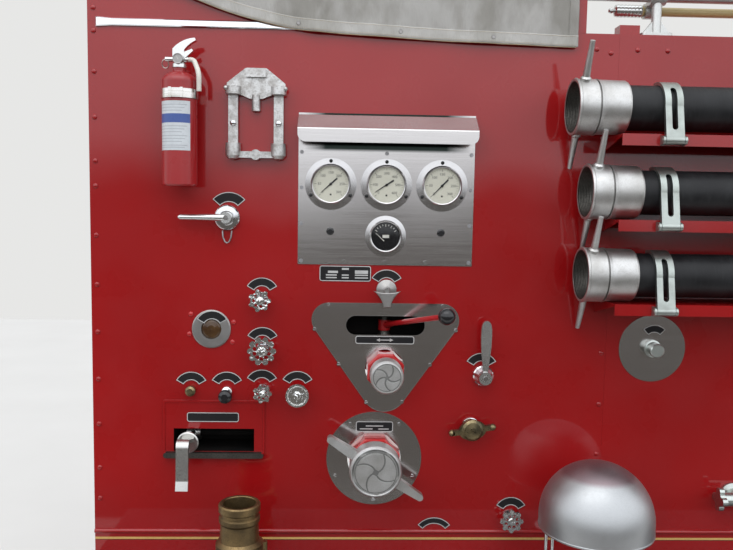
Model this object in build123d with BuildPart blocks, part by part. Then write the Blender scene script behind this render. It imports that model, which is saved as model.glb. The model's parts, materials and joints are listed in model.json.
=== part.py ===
"""A fire engine's pump panel with the first bay of the body side behind it, in millimetres.

+X runs along the vehicle towards its tail, +Y goes into the vehicle, +Z is up. The origin is the
middle of the pump frame's four bolts, on the back of the mounting feet. The painted side faces -Y,
and a distance called "out" is measured forward from the outer face of the side sheets.
"""

from math import asin, cos, degrees, radians, sin, sqrt

import os

from build123d import *

os.makedirs("parts", exist_ok=True)

# Clearances
seat_gap = 0.3  # between pieces that are bolted or laid on each other
pin_clear = 0.05  # round a pin that a lever turns on
thread_clear = 0.3
seam_gap = 0.3

# Side sheets and the frame behind them
frame_depth = 60.0  # from the back of the mounting feet to the outer face of the sheets
panel_width = 1344.0
side_bottom = -760.0
side_top = 643.0
bay_margin = 19.0  # from the rear end of the middle hose to the bay's edge
sheet = 3.0
return_depth = 25.0
bay_ledge = 90.0  # how far the bay's top edge is turned in, under the rail
angle_leg = 45.0
angle_thick = 5.0
foot_size = 84.0
foot_thick = 8.0
foot_bolt_r = 7.0
foot_z = 590.0

# Cowl, bright strip and canvas above the panel
cowl_end_gap = 87.0  # from the seam to the cowl's right end
cowl_height = 149.0
cowl_deck = 250.0
cowl_bend = 40.0
strip_height = 18.0
strip_out = 7.0
strip_inset = 22.0
canvas_thick = 4.0
canvas_gap = 3.0
canvas_left = -500.0
canvas_inset = 24.0
canvas_back = 215.0

# Running board
board_drop = 18.0  # from the bottom of the sheets up to the tread
board_width = 330.0
board_thick = 4.0
board_lip = 45.0
bracket_width = 40.0
bracket_drop = 95.0
bead_z = -672.0
bead_r = 6.0

# Gauges
plate_thick = 2.0
gauge_x = 82.5
gauge_z = 250.0
gauge_pitch = 143.0
gauge_flange_r = 66.0
gauge_bezel_r = 51.0
gauge_bezel_out = 14.0
gauge_case_depth = 58.0
gauge_margin = 17.0
bezel_width = 5.0
meter_drop = 132.0
meter_flange_r = 53.0
meter_bezel_r = 42.0
plug_lift = 11.0
plug_r = 9.0
visor_space = 113.0  # from the gauge flanges to the plate's upper edge
visor_out = 60.0
visor_drop = 42.0
visor_lip = 34.0

# Discharge: three-cornered plate, outlet and lever
outlet_x = 87.0
outlet_z = -229.0
outlet_flats = 94.0
outlet_bore_r = 32.0
outlet_thread_r = 38.5
outlet_reach = 84.0
outlet_cap_wall = 3.2
outlet_cap_out = 114.0
plate_half = 148.0  # from the outlet to an upper corner's centre
plate_rise = 128.0
plate_fall = 56.0
plate_corner_r = 45.0
plate_low_r = 60.0
slot_width = 206.0
slot_height = 50.0
slot_rise = 114.0
lever_swing_at_rest = 30.8
lever_drop = 7.0  # of its pivot below the middle of the slot
lever_length = 267.0
lever_rise = 57.0
lever_r = 7.0
ball_r = 21.0
pin_r = 6.0
hub_r = 16.0
hub_half = 14.0
shroud_wall = 2.0
shroud_margin = 12.0  # of the box round the slot, on each side
hub_clear = 8.0

# Suction inlet
inlet_x = 63.0
inlet_z = -471.0
inlet_plate_r = 126.0
inlet_flats = 130.0
inlet_bore_r = 51.0
inlet_thread_r = 58.0
inlet_reach = 84.0
inlet_cap_wall = 7.7
inlet_cap_out = 114.0
lug_turn = -33.0
lug_reach = 146.0
lug_width = 17.0
lug_depth = 22.0

# Threaded mouths, caps and the pipes behind both castings
mouth_length = 34.0
casting_chamfer = 4.0
cap_skirt = 24.0
rib_height = 4.0
rib_width = 6.0
pipe_back = 150.0
pipe_wall = 7.0
flange_thick = 16.0
flange_bolt_r = 6.5
outlet_flange_r = 62.0
inlet_flange_r = 92.0
flange_edge = 15.0

# Pump shift
shift_x = -358.5
shift_z = -424.0
shift_open_width = 210.0
shift_open_height = 61.0
shift_border = 28.0
shift_brow = 76.0  # plate above the opening, which carries the label
shift_box_depth = 110.0
shift_bar_in = 70.0
shift_bar_r = 10.0
shift_bar_clear = 0.4
shift_rest = 64.0  # from the middle of the opening to the handle, at rest
shift_handle_out = 95.0
shift_grip_drop = 101.0
shift_grip_width = 31.0
guide_thick = 13.0
guide_height = 14.0

# Suction hoses, couplings, shelves and clamps
hose_top_z = 446.0
hose_pitch = 206.0
hose_out = 90.0
hose_r = 55.0
hose_length = 1500.0
upper_lead = 142.0  # of each hose's front end in front of the seam
middle_lead = 101.0
lower_lead = 104.0
swivel_r = 69.5
swivel_length = 52.0
shank_r = 66.5
shank_length = 74.0
coupling_wall = 7.0
hose_tail = 70.0  # how deep the hose's end sits in its coupling
handle_reach = 163.0
handle_r = 9.0
handle_wall_gap = 7.0
shelf_clear = 10.0
shelf_lip_out = 60.0
shelf_flange = 28.0
shelf_thick = 3.0
shelf_lead = 35.0  # how far a shelf may reach in front of the seam
shelf_inset = 120.0  # from its rear end to the bay's edge
clamp_width = 44.0
clamp_prong = 15.0
clamp_gap = 1.0
clamp_thick = 8.0
clamp_pin_r = 5.0
clamp_inset = 85.0  # from the seam to the middle of the front clamps
clamp_rear_inset = 300.0
clamp_drop = 16.0  # of its pin below the hose coupling
clamp_pin_out = 12.0  # of its pin in front of the shelf's lip

# Small valves in the bay: how far behind the seam they sit
cellar_lag = 123.5
tail_lag = 360.0

# Bell and brass adapter on the running board
bell_x = 603.0
bell_r = 138.0
bell_wall_gap = 44.0
bell_skirt = 29.0
bell_wall = 4.0
bell_rim_rise = 158.0
adapter_x = -269.5
adapter_out = 172.0
adapter_height = 216.0
adapter_r = 50.5
adapter_bore_r = 40.0

# Rail and pole above the bay
rail_rise = 99.0
rail_in = 22.0
rail_r = 12.0
pole_rise = 72.0
pole_in = 58.0
pole_r = 11.5
stanchion_inset = 100.0

# Extinguisher and spanner rack
bottle_x = -432.0
bottle_r = 42.0
bottle_low = 237.0
bottle_height = 278.0
bracket_gap = 18.0
strap_rise = 222.0
rack_x = -250.5
rack_z = 402.0
rack_half = 57.0
rack_height = 157.0

panel_left = -panel_width / 2
panel_right = panel_width / 2
bay_left = panel_right + seam_gap
bay_width = hose_length - middle_lead + bay_margin
bay_right = bay_left + bay_width
bay_middle = (bay_left + bay_right) / 2
side_middle = (side_top + side_bottom) / 2
side_height = side_top - side_bottom
foot_x = (panel_width - foot_size) / 2
board_top = side_bottom + board_drop
cowl_right = panel_right - cowl_end_gap
cowl_top = side_top + cowl_height


def front(out=0.0):
    """A plane parallel to the side, `out` in front of its outer face and looking outwards."""
    return Plane.XZ.offset(frame_depth + out)


def face_y(out=0.0):
    """The Y of a point that far in front of the side's outer face."""
    return -(frame_depth + out)


def across(x):
    """The plane across the vehicle at x: its own x runs inwards, its own y runs up."""
    return Plane.YZ.offset(x)


def write(piece, label):
    piece.label = label
    export_step(piece, f"parts/{label}.step")


def octagon_r(flats):
    """The corner radius of an octagon with that distance across its flats."""
    return flats / 2 / cos(radians(22.5))


def turned(x, z, *outline):
    """Turn an outline of (radius, distance out) about an axis square to the side."""
    with BuildSketch(across(x)) as profile:
        with BuildLine():
            Polyline(*[(face_y(out), z + radius) for radius, out in outline], close=True)
        make_face()
    revolve(profile.sketch, axis=Axis((x, 0, z), (0, 1, 0)))


def upright(x, y, *outline):
    """Turn an outline of (radius, height) about an upright axis."""
    with BuildSketch(Plane.XZ.offset(-y)) as profile:
        with BuildLine():
            Polyline(*[(x + radius, height) for radius, height in outline], close=True)
        make_face()
    revolve(profile.sketch, axis=Axis((x, y, 0), (0, 0, 1)))


# The pump panel: one flat sheet with returned edges and a hole behind each fitting
controls = {  # x, z, radius of the hole in the sheet
    "drain": (-237.0, -49.0, 8.0),
    "primer": (-231.0, -179.0, 8.0),
    "booster": (-229.0, -290.0, 8.0),
    "cooler": (-139.5, -294.5, 8.0),
    "relief": (428.0, -627.0, 8.0),
    "choke": (-417.5, -291.0, 5.0),
    "starter": (-325.0, -300.0, 5.0),
    "cock": (-324.0, 160.0, 10.0),
    "throttle": (347.0, -245.0, 8.0),
    "pull": (87.5, -20.5, 7.0),
    "wing": (318.0, -384.0, 12.0),
    "lamp": (-365.0, -129.0, 30.0),
    "cellar": (panel_right + cellar_lag, -168.0, 12.0),
    "tail": (panel_right + tail_lag, -563.0, 12.0),
}
gauge_plate_width = 2 * (gauge_pitch + gauge_flange_r + gauge_margin)
gauge_plate_top = gauge_z + gauge_flange_r + visor_space
gauge_plate_low = gauge_z - meter_drop - meter_flange_r - gauge_margin - 5
gauge_plate_height = gauge_plate_top - gauge_plate_low
gauge_plate_z = (gauge_plate_top + gauge_plate_low) / 2
meter_z = gauge_z - meter_drop
plug_z = meter_z + plug_lift
slot_z = outlet_z + slot_rise
panel_lip = 22.0  # of the sheet left under the edge of a plate that covers an opening

with BuildPart() as pump_panel:
    with BuildSketch(front(-sheet)):
        with Locations((0, side_middle)):
            Rectangle(panel_width, side_height)
        with Locations((gauge_x, gauge_plate_z - panel_lip)):
            Rectangle(
                gauge_plate_width - 2 * panel_lip, gauge_plate_height - 4 * panel_lip, mode=Mode.SUBTRACT
            )
        with Locations((outlet_x, slot_z)):
            Rectangle(slot_width + 30, slot_height + 30, mode=Mode.SUBTRACT)
        with Locations((outlet_x, outlet_z)):
            Circle(octagon_r(outlet_flats) + 4, mode=Mode.SUBTRACT)
        with Locations((inlet_x, inlet_z)):
            Circle(octagon_r(inlet_flats) + 6, mode=Mode.SUBTRACT)
        with Locations((shift_x, shift_z)):
            Rectangle(
                shift_open_width + 2 * sheet + 2, shift_open_height + 2 * sheet + 2, mode=Mode.SUBTRACT
            )
        for x, z, hole_r in controls.values():
            if x < panel_right:
                with Locations((x, z)):
                    Circle(hole_r, mode=Mode.SUBTRACT)
    extrude(amount=sheet)
    with BuildSketch(front(-sheet)):
        with Locations((0, side_middle)):
            with GridLocations(panel_width - sheet, 0, 2, 1):
                Rectangle(sheet, side_height)
    extrude(amount=-return_depth)
write(pump_panel.part, "pump_panel")

# The bay behind it: a plain sheet whose top edge is turned in under the rail
with BuildPart() as bay_panel:
    with BuildSketch(front(-sheet)):
        with Locations((bay_middle, side_middle)):
            Rectangle(bay_width, side_height)
        for x, z, hole_r in controls.values():
            if x > bay_left:
                with Locations((x, z)):
                    Circle(hole_r, mode=Mode.SUBTRACT)
    extrude(amount=sheet)
    with BuildSketch(front(-sheet)):
        with Locations((bay_middle, side_middle)):
            with GridLocations(bay_width - sheet, 0, 2, 1):
                Rectangle(sheet, side_height)
    extrude(amount=-return_depth)
    with BuildSketch(front(-sheet)):
        with Locations((bay_middle, side_top - sheet / 2)):
            Rectangle(bay_width, sheet)
    extrude(amount=-bay_ledge)
write(bay_panel.part, "bay_panel")

# Angle-iron frame: a post with two bolted feet behind each sheet edge, rails welded between the posts
posts = (  # x of the outer corner, which way its leg runs
    (panel_left + sheet + 1, 1),
    (panel_right - sheet - 1, -1),
    (bay_left + sheet + 1, 1),
    (bay_right - sheet - 1, -1),
)
post_inset = 30.0  # of a post's end from the sheet's edge
post_height = side_height - 2 * post_inset
bay_foot_x = (bay_width - foot_size) / 2 - sheet
feet = ((0.0, foot_x), (bay_middle, bay_foot_x))  # middle of a pair, half its spacing
inside = -(sheet + seat_gap)
rail_inset = 53.0
rail_z = (side_bottom + rail_inset, side_top - rail_inset)
rail_face = inside - return_depth
with BuildPart() as body_frame:
    with BuildSketch(front(inside)):
        for x, way in posts:
            with Locations((x + way * angle_leg / 2, side_middle)):
                Rectangle(angle_leg, post_height)
    extrude(amount=-angle_thick)
    with BuildSketch(front(inside)):
        for x, way in posts:
            with Locations((x + way * angle_thick / 2, side_middle)):
                Rectangle(angle_thick, post_height)
    extrude(amount=-(frame_depth + inside))
    with BuildSketch(Plane.XZ):
        for middle, half in feet:
            with Locations((middle, 0)):
                with GridLocations(2 * half, 2 * foot_z, 2, 2):
                    RectangleRounded(foot_size, foot_size, 6)
                    Circle(foot_bolt_r, mode=Mode.SUBTRACT)
    extrude(amount=foot_thick)
    with BuildSketch(front(rail_face)):
        for first, last in (posts[:2], posts[2:]):
            left_end = first[0] + angle_thick + seat_gap
            right_end = last[0] - angle_thick - seat_gap
            with Locations(*[((left_end + right_end) / 2, z) for z in rail_z]):
                Rectangle(right_end - left_end, angle_leg)
    extrude(amount=-angle_thick)
write(body_frame.part, "body_frame")

# Brackets under the running board: a tapered web, an arm along the board and a leg up to the rail
end_bracket = 72.0
bracket_x = (
    panel_left + end_bracket,
    0.0,
    panel_right - end_bracket,
    bay_middle,
    bay_right - 2 * end_bracket,
)
bracket_top = board_top - board_thick - seat_gap
bracket_back = rail_face - angle_thick - seat_gap
bracket_toe = 18.0
arm_inset = 15.0
with BuildPart() as board_brackets:
    for x in bracket_x:
        with BuildSketch(across(x - angle_thick / 2)) as web:
            with BuildLine():
                Polyline(
                    (face_y(seat_gap), bracket_top),
                    (face_y(board_width - arm_inset), bracket_top),
                    (face_y(board_width - arm_inset), bracket_top - bracket_toe),
                    (face_y(bracket_toe), side_bottom - bracket_drop),
                    (face_y(bracket_back), side_bottom - bracket_drop),
                    (face_y(bracket_back), side_bottom - seat_gap),
                    (face_y(seat_gap), side_bottom - seat_gap),
                    close=True,
                )
            make_face()
        extrude(web.sketch, amount=angle_thick)
        with BuildSketch(Plane.XY.offset(bracket_top)) as arm:
            with Locations((x, face_y(board_width / 2))):
                Rectangle(bracket_width, board_width - 2 * arm_inset)
        extrude(arm.sketch, amount=-angle_thick)
        leg_top = rail_z[0] + angle_leg / 2
        with BuildSketch(front(bracket_back)) as leg:
            with Locations((x, (side_bottom - bracket_drop + leg_top) / 2)):
                Rectangle(bracket_width, leg_top - side_bottom + bracket_drop)
        extrude(leg.sketch, amount=-angle_thick)
write(board_brackets.part, "board_brackets")

# The cowl over the pump, folded back over the top in one large bend, closed at both ends
with BuildPart() as cowl:
    with BuildSketch(across(panel_left)):
        with BuildLine():
            FilletPolyline(
                (face_y(), side_top + seam_gap),
                (face_y(), cowl_top),
                (face_y(-cowl_deck), cowl_top),
                radius=cowl_bend,
            )
            offset(amount=sheet, side=Side.RIGHT)
        make_face()
    extrude(amount=cowl_right - panel_left)
    for x in (panel_left, cowl_right - sheet):
        with BuildSketch(across(x)) as end_wall:
            with BuildLine():
                Polyline(
                    (face_y(-sheet), side_top + seam_gap),
                    (face_y(-sheet), cowl_top - cowl_bend),
                    (face_y(-cowl_bend), cowl_top - sheet),
                    (face_y(-cowl_deck), cowl_top - sheet),
                    (face_y(-cowl_deck), side_top + seam_gap),
                    close=True,
                )
            make_face()
        extrude(end_wall.sketch, amount=sheet)
write(cowl.part, "cowl")

# Canvas over the cowl: its outer shape, hanging past the strip to its hem
canvas_right = cowl_right - canvas_inset
canvas_in = strip_out + canvas_gap
hem = (  # share of the canvas's width, drop below the top of the cowl
    (0.0, 57.0),
    (0.07, 81.0),
    (0.142, 111.0),
    (0.236, 140.0),
    (0.33, 159.0),
    (0.448, 167.0),
    (0.684, 178.0),
    (1.0, 186.0),
)
with BuildPart() as canvas_cover:
    with BuildSketch(across(canvas_left)):
        with BuildLine():
            FilletPolyline(
                (face_y(canvas_in), cowl_top - hem[-1][1] - canvas_thick),
                (face_y(canvas_in), cowl_top + seat_gap),
                (face_y(-canvas_back), cowl_top + seat_gap),
                radius=cowl_bend + canvas_in,
            )
            offset(amount=canvas_thick, side=Side.LEFT)
        make_face()
    extrude(amount=canvas_right - canvas_left)
    with BuildSketch(front(canvas_in + canvas_thick + 2)):
        with BuildLine():
            length = canvas_right - canvas_left
            edge = Polyline(*[(canvas_left + share * length, cowl_top - drop) for share, drop in hem])
            low = cowl_top - hem[-1][1] - 60
            Polyline(edge @ 1, (canvas_right, low), (canvas_left, low), edge @ 0)
        make_face()
    extrude(amount=-canvas_thick - 12, mode=Mode.SUBTRACT)
write(canvas_cover.part, "canvas_cover")

# Bright strip along the top of the panel, with a flared left end
strip_z = side_top - 1
strip_flare = strip_height * 0.67
with BuildPart() as trim_strip:
    with BuildSketch(front(seat_gap)):
        with BuildLine():
            Polyline(
                (panel_left + strip_inset, strip_z - strip_flare),
                (panel_left + strip_inset + 40, strip_z - strip_height / 2),
                (canvas_right, strip_z - strip_height / 2),
                (canvas_right, strip_z + strip_height / 2),
                (panel_left + strip_inset + 40, strip_z + strip_height / 2),
                (panel_left + strip_inset, strip_z + strip_flare),
                close=True,
            )
        make_face()
    extrude(amount=strip_out - seat_gap)
    chamfer(trim_strip.faces().sort_by(Axis.Y)[0].edges(), length=2.5)
write(trim_strip.part, "trim_strip")

# Half-round bead and tread board along the bottom
with BuildPart() as sill_bead:
    with BuildSketch(across(panel_left)):
        with Locations((face_y(seat_gap), bead_z)):
            Circle(bead_r)
            Rectangle(2 * bead_r, 2 * bead_r, align=(Align.MIN, Align.CENTER), mode=Mode.SUBTRACT)
    extrude(amount=bay_right - panel_left)
write(sill_bead.part, "sill_bead")

with BuildPart() as running_board:
    with BuildSketch(across(panel_left)):
        with BuildLine():
            FilletPolyline(
                (face_y(seat_gap), board_top),
                (face_y(board_width), board_top),
                (face_y(board_width), board_top - board_lip),
                radius=10,
            )
            offset(amount=board_thick, side=Side.LEFT)
        make_face()
    extrude(amount=bay_right - panel_left)
write(running_board.part, "running_board")

# Gauge plate with its visor
with BuildPart() as gauge_plate:
    with BuildSketch(front()):
        with Locations((gauge_x, gauge_plate_z)):
            Rectangle(gauge_plate_width, gauge_plate_height)
        with Locations((gauge_x, gauge_z)):
            with GridLocations(gauge_pitch, 0, 3, 1):
                Circle(gauge_bezel_r - bezel_width + 4, mode=Mode.SUBTRACT)
        with Locations((gauge_x, meter_z)):
            Circle(meter_bezel_r - bezel_width + 4, mode=Mode.SUBTRACT)
        with Locations((gauge_x, plug_z)):
            with GridLocations(2 * gauge_pitch, 0, 2, 1):
                Circle(plug_r - 2, mode=Mode.SUBTRACT)
    extrude(amount=plate_thick)
write(gauge_plate.part, "gauge_plate")

visor_top = gauge_plate_top - 1
visor_seat = plate_thick + seat_gap
with BuildPart() as gauge_visor:
    with BuildSketch(across(gauge_x - gauge_plate_width / 2)):
        with BuildLine():
            FilletPolyline(
                (face_y(visor_seat), visor_top - 26),
                (face_y(visor_seat), visor_top),
                (face_y(visor_out), visor_top - visor_drop),
                (face_y(visor_out), visor_top - visor_drop - visor_lip),
                radius=4,
            )
            offset(amount=plate_thick, side=Side.LEFT)
        make_face()
    extrude(amount=gauge_plate_width)
    lip_corners = gauge_visor.edges().filter_by(Axis.Y).group_by(Axis.Z)[0]
    fillet(lip_corners, radius=0.6 * visor_lip)
write(gauge_visor.part, "gauge_visor")

dials = [  # x, z, flange radius, bezel radius
    (gauge_x + step * gauge_pitch, gauge_z, gauge_flange_r, gauge_bezel_r) for step in (-1, 0, 1)
] + [(gauge_x, meter_z, meter_flange_r, meter_bezel_r)]

with BuildPart() as gauge_cases:
    for x, z, flange_r, bezel_r in dials:
        dial_r = bezel_r - bezel_width
        turned(
            x,
            z,
            (0, plate_thick - gauge_case_depth),
            (dial_r + 2, plate_thick - gauge_case_depth),
            (dial_r + 2, plate_thick + seat_gap),
            (flange_r, plate_thick + seat_gap),
            (flange_r, plate_thick + 3),
            (bezel_r, plate_thick + 5),
            (bezel_r, gauge_bezel_out - 3),
            (bezel_r - 3, gauge_bezel_out),
            (dial_r, gauge_bezel_out - 1),
            (dial_r, plate_thick + 3),
            (0, plate_thick + 3),
        )
write(gauge_cases.part, "gauge_cases")

with BuildPart() as gauge_dials:
    for x, z, flange_r, bezel_r in dials:
        with BuildSketch(front(plate_thick + 3)) as face:
            with Locations((x, z)):
                Circle(bezel_r - bezel_width - seat_gap)
        extrude(face.sketch, amount=1.5)
write(gauge_dials.part, "gauge_dials")

with BuildPart() as gauge_glasses:
    for x, z, flange_r, bezel_r in dials:
        with BuildSketch(front(gauge_bezel_out - 4)) as pane:
            with Locations((x, z)):
                Circle(bezel_r - bezel_width - seat_gap)
        extrude(pane.sketch, amount=2)
write(gauge_glasses.part, "gauge_glasses")

# Blank label plates: arched ones over the small controls, straight ones beside the rest
label_thick = 1.2
lamp_ring_out = 5.0
arches = {  # outer radius, width of the band, angle that it spans
    "usual": (45.0, 22.0, 120.0),
    "broad": (55.0, 25.0, 98.0),
    "short": (42.0, 20.0, 90.0),
    "slim": (56.0, 17.0, 102.0),
}
arched = (  # control, kind, shift along, rise of its crown above the control, distance out
    ("drain", "usual", 2.0, 55.5, 0.0),
    ("primer", "usual", -2.0, 56.0, 0.0),
    ("booster", "usual", -5.0, 55.0, 0.0),
    ("cooler", "usual", -1.5, 56.5, 0.0),
    ("choke", "usual", 0.0, 48.5, 0.0),
    ("starter", "usual", 0.0, 58.5, 0.0),
    ("relief", "usual", 5.5, 51.0, 0.0),
    ("pull", "usual", 0.0, 52.5, 0.0),
    ("cock", "broad", 4.0, 65.0, 0.0),
    ("throttle", "usual", -5.0, 60.0, 0.0),
    ("lamp", "usual", 2.5, 48.5, lamp_ring_out),
    ("cellar", "short", 3.5, 63.0, plate_thick),
)
straight = (  # x, z, width, height, distance out
    (gauge_x - 102.5, gauge_plate_low - 23, 133.0, 40.0, 0.0),
    (outlet_x - 1, slot_z - slot_height / 2 - 13, 154.0, 21.0, plate_thick),
    (inlet_x, inlet_z + octagon_r(inlet_flats) + 16, 98.0, 28.0, plate_thick),
    (shift_x - 2.5, shift_z + shift_open_height / 2 + 31, 135.0, 25.0, plate_thick),
)
spare_arch = (227.5, -633.0, "slim", 0.0)
crowns = [
    (controls[key][0] + shift, controls[key][1] + rise, kind, out)
    for key, kind, shift, rise, out in arched
]
with BuildPart() as label_plates:
    for x, crown_z, kind, out in crowns + [spare_arch]:
        arch_r, arch_band, arch_angle = arches[kind]
        start = 90 - arch_angle / 2
        with BuildSketch(front(out + seat_gap)) as arch:
            with BuildLine():
                rim = CenterArc((x, crown_z - arch_r), arch_r, start, arch_angle)
                hollow = CenterArc((x, crown_z - arch_r), arch_r - arch_band, start, arch_angle)
                Line(rim @ 0, hollow @ 0)
                Line(rim @ 1, hollow @ 1)
            make_face()
        extrude(arch.sketch, amount=label_thick)
    for x, z, width, height, out in straight:
        with BuildSketch(front(out + seat_gap)) as strip:
            with Locations((x, z)):
                RectangleRounded(width, height, 6)
        extrude(strip.sketch, amount=label_thick)
write(label_plates.part, "label_plates")

# Three-cornered discharge plate with its lever slot
with BuildSketch() as corners:
    with Locations((outlet_x, outlet_z + plate_rise)):
        with GridLocations(2 * plate_half, 0, 2, 1):
            Circle(plate_corner_r)
    with Locations((outlet_x, outlet_z - plate_fall)):
        Circle(plate_low_r)
with BuildPart() as discharge_plate:
    with BuildSketch(front()):
        make_hull(corners.edges())
        with Locations((outlet_x, slot_z)):
            SlotOverall(slot_width, slot_height, mode=Mode.SUBTRACT)
        with Locations((outlet_x, outlet_z)):
            Circle(octagon_r(outlet_flats) + seat_gap, mode=Mode.SUBTRACT)
    extrude(amount=plate_thick)
write(discharge_plate.part, "discharge_plate")

# Round plates behind the inlet and the small drain valve
cellar_plate_r = 89.0
cellar_x, cellar_z, cellar_hole_r = controls["cellar"]
with BuildPart() as round_plates:
    with BuildSketch(front()):
        with Locations((inlet_x, inlet_z)):
            Circle(inlet_plate_r)
            Circle(octagon_r(inlet_flats) + seat_gap, mode=Mode.SUBTRACT)
        with Locations((cellar_x, cellar_z)):
            Circle(cellar_plate_r)
            Circle(cellar_hole_r, mode=Mode.SUBTRACT)
    extrude(amount=plate_thick)
write(round_plates.part, "round_plates")


def casting(x, z, flats, bore_r, thread_r, reach, flange_r):
    """Chamfered octagon outside the side, threaded mouth, pipe and bolted flange inside."""
    shoulder = reach - mouth_length
    root = -frame_depth / 2
    for start, end, taper in (
        (root / 2, shoulder - casting_chamfer, 0),
        (shoulder - casting_chamfer, shoulder, 45),
    ):
        with BuildSketch(front(start)) as octagon:
            with Locations((x, z)):
                RegularPolygon(flats / 2, 8, major_radius=False, rotation=22.5)
        extrude(octagon.sketch, amount=end - start, taper=taper)
    back = -frame_depth - pipe_back
    turned(
        x,
        z,
        (0, back),
        (flange_r, back),
        (flange_r, back + flange_thick),
        (bore_r + pipe_wall, back + flange_thick),
        (bore_r + pipe_wall, root),
        (flats / 2 - 2, root / 2),
        (flats / 2 - 2, shoulder - casting_chamfer),
        (thread_r + 2, shoulder),
        (thread_r + 2, shoulder + 3),
        (thread_r, shoulder + 5),
        (thread_r, reach - 2),
        (thread_r - 2, reach),
        (0, reach),
    )
    with BuildSketch(front(reach)) as bore:
        with Locations((x, z)):
            Circle(bore_r)
    extrude(bore.sketch, amount=back - reach, mode=Mode.SUBTRACT)
    bolt_pitch = sqrt(2) * (flange_r - flange_edge)
    with BuildSketch(front(back)) as bolts:
        with Locations((x, z)):
            with GridLocations(bolt_pitch, bolt_pitch, 2, 2):
                Circle(flange_bolt_r)
    extrude(bolts.sketch, amount=flange_thick, mode=Mode.SUBTRACT)


def cap(x, z, cap_r, thread_r, reach, face_out, ribs):
    """A blank cap over a threaded mouth: rolled rim, sunk face and a swirl of curved ribs."""
    sunk = face_out - rib_height
    turned(
        x,
        z,
        (thread_r + thread_clear, reach - cap_skirt),
        (cap_r - 2, reach - cap_skirt),
        (cap_r, reach - cap_skirt + 4),
        (cap_r, face_out - 5),
        (cap_r - 3, face_out - 1),
        (cap_r - 6, face_out),
        (cap_r - 10, sunk),
        (0, sunk),
        (0, reach + thread_clear),
        (thread_r + thread_clear, reach + thread_clear),
    )
    bend = (cap_r - 8) / sqrt(3)  # the rib turns through 120 degrees on its way to the rim
    with BuildSketch() as rib:
        SlotArc(CenterArc((0, bend), bend, -90, 120), rib_width)
    with BuildSketch(front(sunk)) as swirl:
        with Locations((x, z)):
            with PolarLocations(0, ribs):
                add(rib.sketch)
    extrude(swirl.sketch, amount=rib_height - 1)


with BuildPart() as outlet_body:
    casting(
        outlet_x, outlet_z, outlet_flats, outlet_bore_r, outlet_thread_r, outlet_reach, outlet_flange_r
    )
write(outlet_body.part, "outlet_body")

with BuildPart() as outlet_cap:
    cap(
        outlet_x, outlet_z, outlet_thread_r + thread_clear + outlet_cap_wall, outlet_thread_r,
        outlet_reach, outlet_cap_out, 5,
    )
write(outlet_cap.part, "outlet_cap")

with BuildPart() as inlet_body:
    casting(inlet_x, inlet_z, inlet_flats, inlet_bore_r, inlet_thread_r, inlet_reach, inlet_flange_r)
write(inlet_body.part, "inlet_body")

inlet_cap_r = inlet_thread_r + thread_clear + inlet_cap_wall
with BuildSketch() as lug:
    with Locations((inlet_cap_r - lug_width, 0)):
        Circle(0.8 * lug_width)
    with Locations((lug_reach - lug_width / 2, 0)):
        Circle(lug_width / 2)
    make_hull()
    Circle(inlet_cap_r - 2, mode=Mode.SUBTRACT)
lug_out = inlet_reach - cap_skirt + 6
with BuildPart() as inlet_cap:
    cap(inlet_x, inlet_z, inlet_cap_r, inlet_thread_r, inlet_reach, inlet_cap_out, 5)
    with BuildSketch(front(lug_out)) as lugs:
        with Locations((inlet_x, inlet_z)):
            with PolarLocations(0, 2, start_angle=lug_turn):
                add(lug.sketch)
    extrude(lugs.sketch, amount=lug_depth)
write(inlet_cap.part, "inlet_cap")

# Discharge lever: a bar on an upright pin behind the slot, with a ball grip
lever_turn = radians(lever_swing_at_rest)
lever_pivot = Vector(outlet_x, 0, slot_z - lever_drop)
lever_way = Vector(lever_length * sin(lever_turn), -lever_length * cos(lever_turn), lever_rise)
ball_at = lever_pivot + lever_way
lever_root = Plane(origin=lever_pivot, z_dir=lever_way)
grip_bore = ball_at - lever_way.normalized() * (ball_r / 3)
with BuildPart() as discharge_lever:
    with BuildSketch(lever_root):
        Circle(lever_r)
    extrude(amount=lever_way.length - ball_r / 3)
    with BuildSketch(lever_root):
        Circle(lever_r + 5)
    extrude(amount=3 * hub_r, taper=6)
    with BuildSketch(Plane.XY.offset(lever_pivot.Z - hub_half)):
        with Locations((lever_pivot.X, lever_pivot.Y)):
            Circle(hub_r)
    extrude(amount=2 * hub_half)
    with BuildSketch(Plane.XY.offset(lever_pivot.Z - hub_half)):
        with Locations((lever_pivot.X, lever_pivot.Y)):
            Circle(pin_r + pin_clear)
    extrude(amount=2 * hub_half, mode=Mode.SUBTRACT)
write(discharge_lever.part, "discharge_lever")

with BuildPart() as lever_ball:
    with Locations(ball_at):
        Sphere(ball_r)
    with BuildSketch(Plane(origin=grip_bore, z_dir=lever_way)):
        Circle(lever_r + pin_clear)
    extrude(amount=-ball_r, mode=Mode.SUBTRACT)
write(lever_ball.part, "lever_ball")

stem_low = outlet_z + outlet_bore_r + pipe_wall + seat_gap
hub_low = lever_pivot.Z - hub_half - seat_gap
hub_high = lever_pivot.Z + hub_half + seat_gap
with BuildPart() as valve_stem:
    upright(
        lever_pivot.X,
        lever_pivot.Y,
        (0, stem_low),
        (hub_r + 2, stem_low),
        (hub_r + 2, hub_low - 14),
        (pin_r + 6, hub_low),
        (pin_r, hub_low),
        (pin_r, hub_high),
        (pin_r + 5, hub_high),
        (pin_r + 5, hub_high + 9),
        (0, hub_high + 9),
    )
write(valve_stem.part, "valve_stem")

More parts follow.
